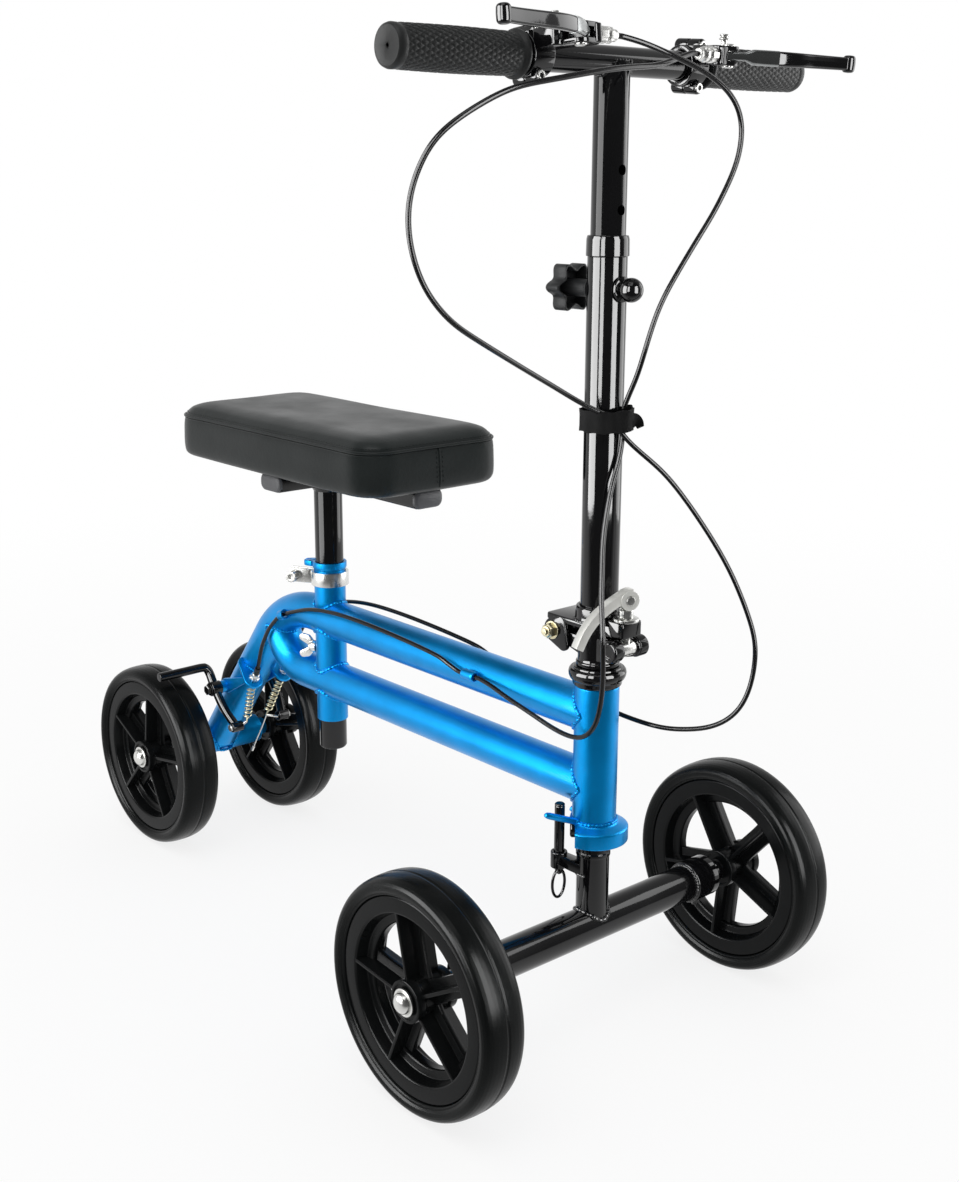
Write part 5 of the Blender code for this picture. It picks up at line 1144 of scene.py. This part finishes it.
LUG = [(0, -0.0135), (0.0046, -0.0135), (0.0052, -0.0125), (0.0052, -0.0010), (0.0044, -0.0004), (0.0044, 0.0006)]
LUG += [(0.0052, 0.0012), (0.0052, 0.0110), (0.0046, 0.0122), (0, 0.0122)]
SCREW = [(0, 0.0118), (0.0019, 0.0118), (0.0019, 0.0132), (0.0037, 0.0132), (0.0038, 0.0116), (0, 0.0110)]
PIVOT_CAP = [(0, 0), (0.0046, 0), (0.0046, 0.0012), (0.0034, 0.0020), (0, 0.0021)]
BARREL = [
    (0, 0.0655), (0.0050, 0.0655), (0.0050, 0.0632), (0.0058, 0.0628), (0.0060, 0.0560), (0.0056, 0.0552),
    (0.0046, 0.0548), (0.0046, 0.0535), (0.0058, 0.0530), (0.0058, 0.0498), (0.0048, 0.0486), (0.0043, 0.0470),
    (0.0043, 0.0444), (0.0036, 0.0440), (0, 0.0440),
]
BUTTON = [(radius, EAR_TOP + h) for radius, h in (
    (0, -0.0034), (0.0022, -0.0034), (0.0022, 0.0046), (0.0040, 0.0048), (0.0041, 0.0056), (0.0028, 0.0066),
    (0.0026, 0.0072), (0.0038, 0.0078), (0.0038, 0.0086), (0.0030, 0.0090), (0, 0.0090),
)]
for name, side in SIDES.items():

    def plan(a, b, h, side=side):
        return Vector((HEAD_X + a, side * b, h))

    pivot = head(LEVER_U, side * LEVER_Y, 0)
    ring = [(0.0114, 0.074), (0.0155, 0.074), (0.0155, 0.094), (0.0114, 0.094)]
    perch = [turned(ring, 0.0009, head(0, 0, BAR_Z), ACROSS * side)]
    screws = []
    for z, up in ((EAR_TOP, 1), (EAR_LOW, -1)):
        screws.append(turned(PIVOT_CAP, 0.0004, pivot + UP * (z - up * 0.0004), UP * up, 32))
    screws.append(rod(0.0023, pivot + UP * EAR_LOW, pivot + UP * EAR_TOP))
    for up in (-1, 1):
        lug_at = head(0, side * LUG_Y, BAR_Z + up * LUG_RISE)
        low, high = sorted((lug_at.z, BAR_Z + up * 0.011))
        perch.append(turned(LUG, 0.0006, lug_at, AHEAD, 32))
        perch.append(plate(rectangle(0.0085, 0.0062, 0.003, HEAD_X, side * LUG_Y), low, high, flat, 0.0006))
        screws.append(turned(SCREW, 0.0003, lug_at, AHEAD, 28))
    body = [(0.0125, 0.0745), (0.0300, 0.0735), (0.0365, 0.0755), (0.0365, 0.0900), (0.0330, 0.0938), (0.0125, 0.0938)]
    ear = hull([(LEVER_U, LEVER_Y, 0.0078), (LEVER_U, LEVER_Y - 0.0105, 0.0062), (0.032, LEVER_Y + 0.001, 0.008)])
    holder = softened([(0.0385, 0.0640), (0.0535, 0.0640), (0.0530, 0.0710), (0.0390, 0.0710)], 0.002, True, 4)
    perch += [
        plate(softened(body, 0.002, True, 4), EAR_LOW, EAR_TOP, plan, 0.0014),
        plate(ear, EAR_LOW, LEVER_Z - 0.0034, plan, 0.0009), plate(ear, LEVER_Z + 0.0034, EAR_TOP, plan, 0.0009),
        plate(holder, EAR_LOW + 0.0006, EAR_TOP - 0.0006, plan, 0.0012),
    ]
    dress(name + "_lever_clamp", "black_paint", perched(name, *perch))
    piece(name + "_perch_screws", perched(name, *screws), "zinc", body="bar")
    barrel = turned(BARREL, 0.0004, head(LEVER_U, 0, LEVER_Z), ACROSS * side, 96, knurled(10, 0.03, 0.0053))
    piece(name + "_cable_barrel", perched(name, barrel), "silver_tube", body="bar")

    path = [(0.0, 0.0), (0.008, 0.0075), (0.0145, 0.0150), (0.0225, 0.0270), (0.0285, 0.046), (0.0305, 0.066)]
    path += [(0.033, 0.087), (0.0360, 0.104)]
    line = flowing([plan(LEVER_U + a, LEVER_Y + b, LEVER_Z) for a, b in path], 0.002)
    total = len(line) - 1
    seam_at = round(total * 0.34)

    def blade(index, total=total):
        """A rounded strap that is slim in the perch, full at the fingers and drawn in at the tip."""
        share = index / total
        rise = min(1, max(0, (share - 0.11) / 0.05))
        tall = 0.0031 + (0.0058 - 0.0031) * rise - 0.0010 * max(0, share - 0.4)
        wide = 0.0066 - 0.0026 * min(1, share / 0.3) - 0.0006 * share
        return rectangle(wide, tall, min(wide, tall) * 0.62, steps=5)

    eye = [(0.0032, -0.0030), (0.0070, -0.0030), (0.0070, 0.0030), (0.0032, 0.0030)]
    root = join(swept(line[: seam_at + 1], blade, up=UP), turned(eye, 0.0006, pivot + UP * LEVER_Z, UP, 40))
    tip = [(0, -0.0068), (0.0036, -0.0064), (0.0050, -0.0048)]
    tip += [(0.0053, 0)] + [(r, -h) for r, h in tip[::-1]]
    lever = swept(line[seam_at:], lambda i: [(a * 0.94, b * 0.95) for a, b in blade(i + seam_at)], up=UP)
    tip = turned(tip, 0.0012, plan(LEVER_U + 0.0362, LEVER_Y + 0.1045, LEVER_Z), UP, 32)
    dress(name + "_brake_lever", "black_paint", perched(name, lever, tip))
    piece(name + "_brake_lever_root", perched(name, root), "lever_metal", body=name + "_lever")
    button = turned(BUTTON, 0.0003, head(0.032, side * (LEVER_Y + 0.010), 0), UP, 32)
    dress(name + "_parking_button", "zinc", perched(name, button))

# Brake cables, on the CAD's own routes: millimetres ahead of the steering axis, to the left and up
UPPER = {
    "right": [
        (46, -44, 829), (46.2, -37, 829), (51, -24, 826.5), (58, -9, 821), (62, 30, 810), (65, 56, 798),
        (67, 69, 786), (67, 76, 772), (66, 73.5, 745), (60, 56.5, 709), (56, 44, 690), (50, 27, 663), (45, 15, 641),
        (41, 9, 621), (36, 5, 597), (28.5, 5, 578), (21.2, 4, 565.5), (18.8, 3.3, 557), (18.8, 3.3, 550.2),
    ],
    "left": [
        (46, 44, 829), (46.1, 37, 829), (47, 24, 825.5), (50, -3, 818), (54, -37, 815), (56, -68, 811),
        (56, -109, 804), (54, -147, 797), (50, -169, 788), (43, -194, 773), (35, -207, 759), (27, -215, 736),
        (22, -217, 713), (22, -214, 687), (24, -203, 660), (25, -182, 638), (24, -162.6, 626.7), (22, -141.8, 616),
        (18, -118.5, 604.9), (13, -93.5, 593.3), (9, -68.8, 581.8), (7.5, -45.6, 570), (9.2, -34, 563.5),
        (11.2, -22.5, 557.5), (14.1, -11.8, 553), (17.1, -6.9, 550.2),
    ],
}
MIDDLE = {
    "right": [
        (18.8, 3.3, 549.8), (18.8, 3.3, 540), (18.8, 2.8, 528), (19.3, -2, 512), (21.7, -12, 494), (28, -26, 456),
        (36, -34, 434), (42, -41, 413), (45, -43, 391), (46, -43, 367), (47, -42, 343), (45, -41, 327),
        (37, -38, 304), (24, -36, 290), (10, -35, 285), (-16, -33, 285), (-54, -30, 291), (-82, -28, 295),
        (-106, -25.2, 299.5), (-120, -24.1, 301), (-129, -24, 301),
    ],
    "left": [
        (17.1, -6.9, 549.8), (18.4, -4, 544), (20.6, -0.5, 537), (26.8, 5, 528.5), (37, 16, 516.5), (46, 30, 501),
        (60, 53, 466), (76, 74, 424), (89, 87, 382), (94, 91, 356), (92, 88, 322), (84, 80, 299), (68, 68, 286),
        (45, 56, 281), (32, 49, 280), (9, 42, 282), (-10, 37, 285), (-50, 31, 291), (-90, 26.5, 297),
        (-120, 24.1, 301), (-129, 24, 301),
    ],
}
REAR_RUN = [
    (-146, 301), (-154, 301.2), (-166, 304.2), (-187, 309), (-242, 313), (-300, 315), (-348, 314), (-386, 309),
    (-415, 300.5), (-436.4, 292.8), (-445.5, 287.5), (-463, 271), (-477.5, 251), (-484.5, 237), (-489, 227),
    (-493.2, 219), (-497.5, 212.1),
]


def run_of(spots):
    """A route in metres."""
    return [head(*[size / 1000 for size in spot]) for spot in spots]


def fitted(route, start, end):
    """A route moved so that its ends fall on two points."""
    lengths = [0.0]
    for before, after in zip(route, route[1:]):
        lengths.append(lengths[-1] + (after - before).length)
    first = Vector(start) - route[0]
    last = Vector(end) - route[-1]
    return [point + first.lerp(last, run / lengths[-1]) for point, run in zip(route, lengths)]


def faired(line, passes=24):
    """A line with its small kinks eased out, kept clear of the column."""
    line = [spot.copy() for spot in line]
    for turn in range(passes):
        line[3:-3] = [line[k].lerp((line[k - 1] + line[k + 1]) / 2, 0.5) for k in range(3, len(line) - 3)]
    for spot in line:
        across = Vector((spot.x - HEAD_X, spot.y, 0))
        if 0.39 < spot.z < 0.67 and across.length < COLUMN_R + CABLE_R + 0.0001:
            spot += across.normalized() * (COLUMN_R + CABLE_R + 0.0001 - across.length)
    return line


TOWARDS_CAMERA = Vector((0.678, -0.546, 0.492))
SPLIT_Z = {"right": 0.362, "left": 0.354}
TIE_GAP = UP * 0.00015
FERRULE = [
    (0.0024, 0), (0.0032, 0), (0.0032, 0.00558), (0.0029, 0.00594), (0.0032, 0.00648), (0.0032, 0.009), (0.0024, 0.009),
]
for name, side in SIDES.items():
    gland = on_bar(name, head(0.046, side * 0.0437, LEVER_Z))
    route = run_of(UPPER[name])
    in_tie = route[-1].copy()
    line = faired(flowing(fitted(route, gland, in_tie + TIE_GAP), 0.003))
    part = dress(name + "_cable_upper", "cable", tube(line, CABLE_R, 16), body="")
    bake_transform(part)

    line = fitted(run_of(MIDDLE[name]), in_tie - TIE_GAP, head(-0.1292, side * CABLE_Y, 0.301))
    line = faired(flowing(line, 0.003))
    # The right cable stands clear of the latch lever, also when the fold swings the lever forward
    if name == "right":
        for spot in line:
            if spot.x > HEAD_X + 0.02:
                spot += TOWARDS_CAMERA * 0.012 * math.exp(-(((spot.z - 0.374) / 0.032) ** 2))
    split = next(index for index, spot in enumerate(line) if spot.z < SPLIT_Z[name])
    joint = line[split]
    # Two points near the fold on each cable. The right cable's lie above the lever.
    if name == "right":
        bend = (head(0.0200, -0.006, 0.520), head(0.0385, -0.0370, 0.426))
    else:
        bend = (Vector((joint.x * 0.35 + (HEAD_X + 0.02) * 0.65, joint.y * 0.3, 0.505)), joint + UP * 0.004)
    part = tube(line[: split + 1], CABLE_R, 16)
    part = piece(name + "_cable_fold_look", part, "cable", name + "_cable_middle", body="")
    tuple(bend[0])
    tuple(bend[1])
    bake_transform(part)
    part = piece(name + "_cable_turn_look", tube(line[split:], CABLE_R, 16), "cable", body="")
    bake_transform(part)

    route = []
    for index, (u, z) in enumerate(REAR_RUN):
        inward = max(0, index - len(REAR_RUN) + 6) / 5
        route.append(head(u / 1000, side * (CABLE_Y - (CABLE_Y - TAB_Y) * inward), z / 1000))
    end = tail(TAB_X, side * TAB_Y, TAB_Z) + TAB_UP * 0.0118
    line = flowing(fitted(route, head(-0.1458, side * CABLE_Y, 0.301), end), 0.003)
    dress(name + "_cable_rear", "cable", tube(line, CABLE_R, 16))
    ferrule = turned(FERRULE, 0.0003, line[-1], line[-4] - line[-1], 24)
    piece(name + "_cable_ferrules", ferrule, "black_plastic", body="frame")

# Knee pad: a foam block swollen by cloth pressure under its cover
PAD_X, PAD_LOW, SEAM_Z = -0.067, 0.455, 0.4972
PAD_LONG, PAD_WIDE, PAD_CORNER = 0.1695, 0.085, 0.033
PAD_SWELL, SWELL_PASSES, CLOTH_FRAMES = 0.0020, 60, 20
SEAM_DEPTH, SEAM_SPREAD = 0.0011, 0.0022
levels = [
    (0.4555, 0.0075), (0.4575, 0.0040), (0.4615, 0.0022), (0.4700, 0.0016), (0.4850, 0.0016), (0.4930, 0.0018),
    (0.4975, 0.0026), (0.5015, 0.0050), (0.5050, 0.0095), (0.5072, 0.0160), (0.5085, 0.0250),
]
rings = []
for z, depth in levels:
    outline = rectangle(PAD_LONG - depth, PAD_WIDE - depth, max(PAD_CORNER - depth, 0.004), PAD_X, 0, 12)
    rings.append([Vector((a, b, z)) for a, b in outline])
pad = put("knee_pad_block", mesh_of(skin(rings)))
remesh = pad.modifiers.new("remesh", "REMESH")
remesh.mode = "VOXEL"
remesh.voxel_size = 0.005
pad.data = evaluated(pad)
pad.modifiers.clear()
rest = [vertex.co.copy() for vertex in pad.data.vertices]
held = pad.vertex_groups.new(name="board")
held.add([v.index for v in pad.data.vertices if v.co.z < PAD_LOW + 0.007], 1.0, "REPLACE")
cloth = pad.modifiers.new("cloth", "CLOTH").settings
cloth.vertex_group_mass = "board"
cloth.use_pressure = True
cloth.uniform_pressure_force = 4
cloth.effector_weights.gravity = 0
cloth.tension_stiffness = cloth.compression_stiffness = 25
cloth.bending_stiffness = 2
for step in range(1, CLOTH_FRAMES + 1):
    scene.frame_set(step)
swollen = evaluated(pad)
# The foam is firm, so the swelling is evened out and the cover stays free of creases
moves = [vertex.co - still for vertex, still in zip(swollen.vertices, rest)]
beside = [[] for vertex in rest]
for edge in swollen.edges:
    for one, other in (edge.vertices, reversed(edge.vertices)):
        beside[one].append(other)
for turn in range(SWELL_PASSES):
    moves = [sum((moves[k] for k in near), move) / (len(near) + 1) for move, near in zip(moves, beside)]
for vertex, still, move in zip(swollen.vertices, rest, moves):
    vertex.co = still + move * min(1, PAD_SWELL / max(move.length, 1e-9))
pad.modifiers.clear()
pad.data = swollen
scene.frame_set(1)
smooth = pad.modifiers.new("fine", "SUBSURF")
smooth.levels = smooth.render_levels = 1
pad_mesh = evaluated(pad)
bpy.data.objects.remove(pad, do_unlink=True)
tree = BVHTree.FromPolygons([v.co for v in pad_mesh.vertices], [list(p.vertices) for p in pad_mesh.polygons])


def on_pad(a, b, z):
    """The pad's surface at a height, looking in at an outline point, and the way out there."""
    middle = Vector((PAD_X + max(-0.13, min(0.13, a - PAD_X)), max(-0.04, min(0.04, b)), z))
    out = (Vector((a, b, z)) - middle).normalized()
    hit = tree.ray_cast(middle + out * 0.12, -out)[0]
    return (hit if hit else Vector((a, b, z))), out


def stitch(start, end, thick):
    shares = (0, 0.3, 0.7, 1)
    return tube([start.lerp(end, share) for share in shares], [0.0002, thick, thick, 0.0002], 6)


outline = rectangle(PAD_LONG, PAD_WIDE, PAD_CORNER, PAD_X, 0, 16)
edge_line = []
for (a0, b0), (a1, b1) in zip(outline, outline[1:] + outline[:1]):
    steps = max(1, round(math.hypot(a1 - a0, b1 - b0) / 0.004))
    edge_line += [(a0 + (a1 - a0) * s / steps, b0 + (b1 - b0) * s / steps) for s in range(steps)]
seam = [on_pad(a, b, SEAM_Z) for a, b in edge_line]
stitched = [on_pad(a, b, SEAM_Z + 0.0036) for a, b in edge_line]
ends = [[on_pad(PAD_X + sign * PAD_LONG, 0, 0.4600 + 0.0022 * k) for k in range(17)] for sign in (1, -1)]
for vertex in pad_mesh.vertices:
    away = abs(vertex.co.z - SEAM_Z)
    if away < 0.006 and (abs(vertex.co.x - PAD_X) > 0.12 or abs(vertex.co.y) > 0.06):
        inwards = Vector((PAD_X, 0, vertex.co.z)) - vertex.co
        vertex.co += inwards.normalized() * SEAM_DEPTH * math.exp(-((away / SEAM_SPREAD) ** 2))
pad_mesh.materials.clear()
cover = piece("knee_pad_cover", pad_mesh, "vinyl", "knee_pad", sharp=80)
seams = [
    tube([spot + out * 0.0004 for spot, out in seam], 0.0015, 12, True, UP),
    tube([spot + out * 0.0001 - UP * 0.0024 for spot, out in seam], 0.0008, 8, True, UP),
]
for line in ends:
    seams.append(tube([spot + out * 0.0001 for spot, out in line], 0.0009, 10))
    for shift in (-0.0035, 0.0035):
        raised = [spot + out * 0.0002 + ACROSS * shift for spot, out in line]
        seams += [stitch(raised[k], raised[k + 1], 0.0004) for k in range(2, len(line) - 2, 2)]
for (spot, out), (after, out_after) in zip(stitched, stitched[1:] + stitched[:1]):
    start = spot.lerp(after, 0.15) + out * 0.0001
    seams.append(stitch(start, spot.lerp(after, 0.80) + out_after * 0.0001, 0.00036))
piece("knee_pad_seams", join(*seams), "vinyl", body="seat")

# Floor: white to the camera and in reflections, which show it darker on the camera's side, where the studio is not lit
BACKDROP = (-0.7538, 0.6571, 0)
FLOOR_HALF = 40
corners = [Vector((x, y, 0)) for x, y in ((-1, -1), (1, -1), (1, 1), (-1, 1))]
floor = put("floor", mesh_of(([corner * FLOOR_HALF for corner in corners], [[0, 1, 2, 3]])))
ground = bpy.data.materials.new("floor")
ground.use_nodes = True
tree = ground.node_tree
tree.nodes.clear()


def side_on(tree, place):
    """How far a place lies towards the backdrop."""
    return node(tree, "VectorMath", {0: place, 1: BACKDROP}, operation="DOT_PRODUCT").outputs["Value"]


place = node(tree, "TexCoord").outputs["Object"]
path = node(tree, "LightPath").outputs
reach = node(tree, "VectorMath", {0: place}, operation="LENGTH").outputs["Value"]
seen = worked(tree, "MAXIMUM", path["Is Camera Ray"], path["Is Glossy Ray"])
seen = worked(tree, "MAXIMUM", seen, path["Is Transmission Ray"])
seen = worked(tree, "MULTIPLY", seen, ranged(tree, reach, 0.5, 2.2, 0.82, 1.0, "SMOOTHSTEP"))
near = ranged(tree, side_on(tree, place), -0.90, -0.25, 0.10, 1.0, "SMOOTHSTEP")
glow = {"Color": (1, 1, 1, 1), "Strength": mixed(tree, path["Is Glossy Ray"], 1.0, near)}
mix = node(tree, "MixShader", {
    "Fac": worked(tree, "MAXIMUM", seen, path["Is Glossy Ray"]),
    1: node(tree, "BsdfDiffuse", {"Color": (0.94, 0.94, 0.94, 1)}).outputs["BSDF"],
    2: node(tree, "Emission", glow).outputs["Emission"],
})
node(tree, "OutputMaterial", {"Surface": mix.outputs["Shader"]})
floor.data.materials.append(ground)

# World: a white backdrop. Reflections also show the dimmer room above it and on the camera's side.
scene.world = bpy.data.worlds.new("studio")
scene.world.use_nodes = True
tree = scene.world.node_tree
sky = tree.nodes["Background"]
sky.inputs["Color"].default_value = (1, 1, 1, 1)
place = node(tree, "TexCoord").outputs["Generated"]
path = node(tree, "LightPath").outputs
height = node(tree, "SeparateXYZ", {"Vector": place}).outputs["Z"]
room = ranged(tree, side_on(tree, place), -0.30, 0.30, 0.11, 1.0, "SMOOTHSTEP")
room = worked(tree, "MULTIPLY", room, ranged(tree, height, 0.15, 0.80, 1.0, 0.45, "SMOOTHSTEP"))
mirror = worked(tree, "MAXIMUM", path["Is Glossy Ray"], path["Is Transmission Ray"])
strength = mixed(tree, path["Is Camera Ray"], mixed(tree, mirror, 0.80, room), 1.0)
tree.links.new(strength, sky.inputs["Strength"])


def softbox(name, spot, aim, wide, tall, radiance, diffuse=True):
    """A rectangular lamp of a given brightness that faces a point."""
    lamp = bpy.data.lights.new(name, "AREA")
    lamp.shape = "RECTANGLE"
    lamp.size = wide
    lamp.size_y = tall
    lamp.energy = radiance * math.pi * wide * tall
    holder = put(name, lamp)
    holder.location = spot
    holder.rotation_euler = (Vector(aim) - Vector(spot)).to_track_quat("-Z", "Y").to_euler()
    holder.visible_camera = False
    holder.visible_diffuse = diffuse
    return holder


softbox("key", (0.7, -0.9, 2.6), (0.05, 0.0, 0.3), 1.5, 1.5, 2.0)
# Tall panels that only reflections see: dim ones for all but the vinyl, bright ones for gloss black, tyres and rims.
# The bright ones leave out three pieces that the photo shows mostly black.
UNLIT = ("seat_post_look", "handlebar_look", "handlebar_post_look")
GLOSS = [LOOKS[name] for name in ("black_paint", "cable", "tyre", "rim_plastic")]
gloss = bpy.data.collections.new("gloss_black")
sheen = bpy.data.collections.new("all_but_vinyl")
for part in scene.collection.objects:
    if part.type == "MESH" and part.data.materials:
        if part.data.materials[0] in GLOSS and part.name not in UNLIT:
            gloss.objects.link(part)
        if part.data.materials[0] != LOOKS["vinyl"]:
            sheen.objects.link(part)
PANEL_AWAY, DIM_AWAY, PANEL_TOP = 1.4, 1.45, 1.6
for name, bearing, spread, low, dim, bright in (
    ("left_panel", -111.5, 44, 0.10, 6.0, 13), ("left_strip", -71, 20, 0.42, 0, 18),
    ("right_strip", 4.8, 30, 0.10, 0, 18), ("right_panel", 68, 38, 0.10, 3.2, 0),
):
    out = Vector((math.cos(math.radians(bearing)), math.sin(math.radians(bearing)), 0))
    wide, tall = 2 * PANEL_AWAY * math.tan(math.radians(spread / 2)), PANEL_TOP - low
    aim = head(0, 0, (PANEL_TOP + low) / 2)
    for label, away, radiance, lit in (
        (name + "_dim", DIM_AWAY, dim, sheen), (name, PANEL_AWAY, bright, gloss),
    ):
        if radiance:
            strip = softbox(label, aim + out * away, aim, wide, tall, radiance, False)
            strip.light_linking.receiver_collection = lit

# Camera, fitted to the photograph's four wheels
PHOTO_HEIGHT, FOCAL_PIXELS, SENSOR = 1182, 1549.3, 36
CAMERA_SPOT, YAW, PITCH, ROLL = (1.1774, -0.8897, 0.7366), 0.8544, 0.2625, 0.0037
lens = bpy.data.cameras.new("camera")
lens.sensor_width = SENSOR
lens.lens = FOCAL_PIXELS * SENSOR / PHOTO_HEIGHT
lens.clip_start, lens.clip_end = 0.05, 200
camera = put("camera", lens)
ahead = Vector((-math.cos(PITCH) * math.sin(YAW), math.cos(PITCH) * math.cos(YAW), -math.sin(PITCH)))
right = ahead.cross(UP).normalized()
up = right.cross(ahead)
right, up = right * math.cos(ROLL) + up * math.sin(ROLL), up * math.cos(ROLL) - right * math.sin(ROLL)
turn = Matrix((right, up, -ahead)).transposed().to_4x4()
camera.matrix_world = Matrix.Translation(CAMERA_SPOT) @ turn
scene.camera = camera
scene.view_settings.view_transform = "Standard"
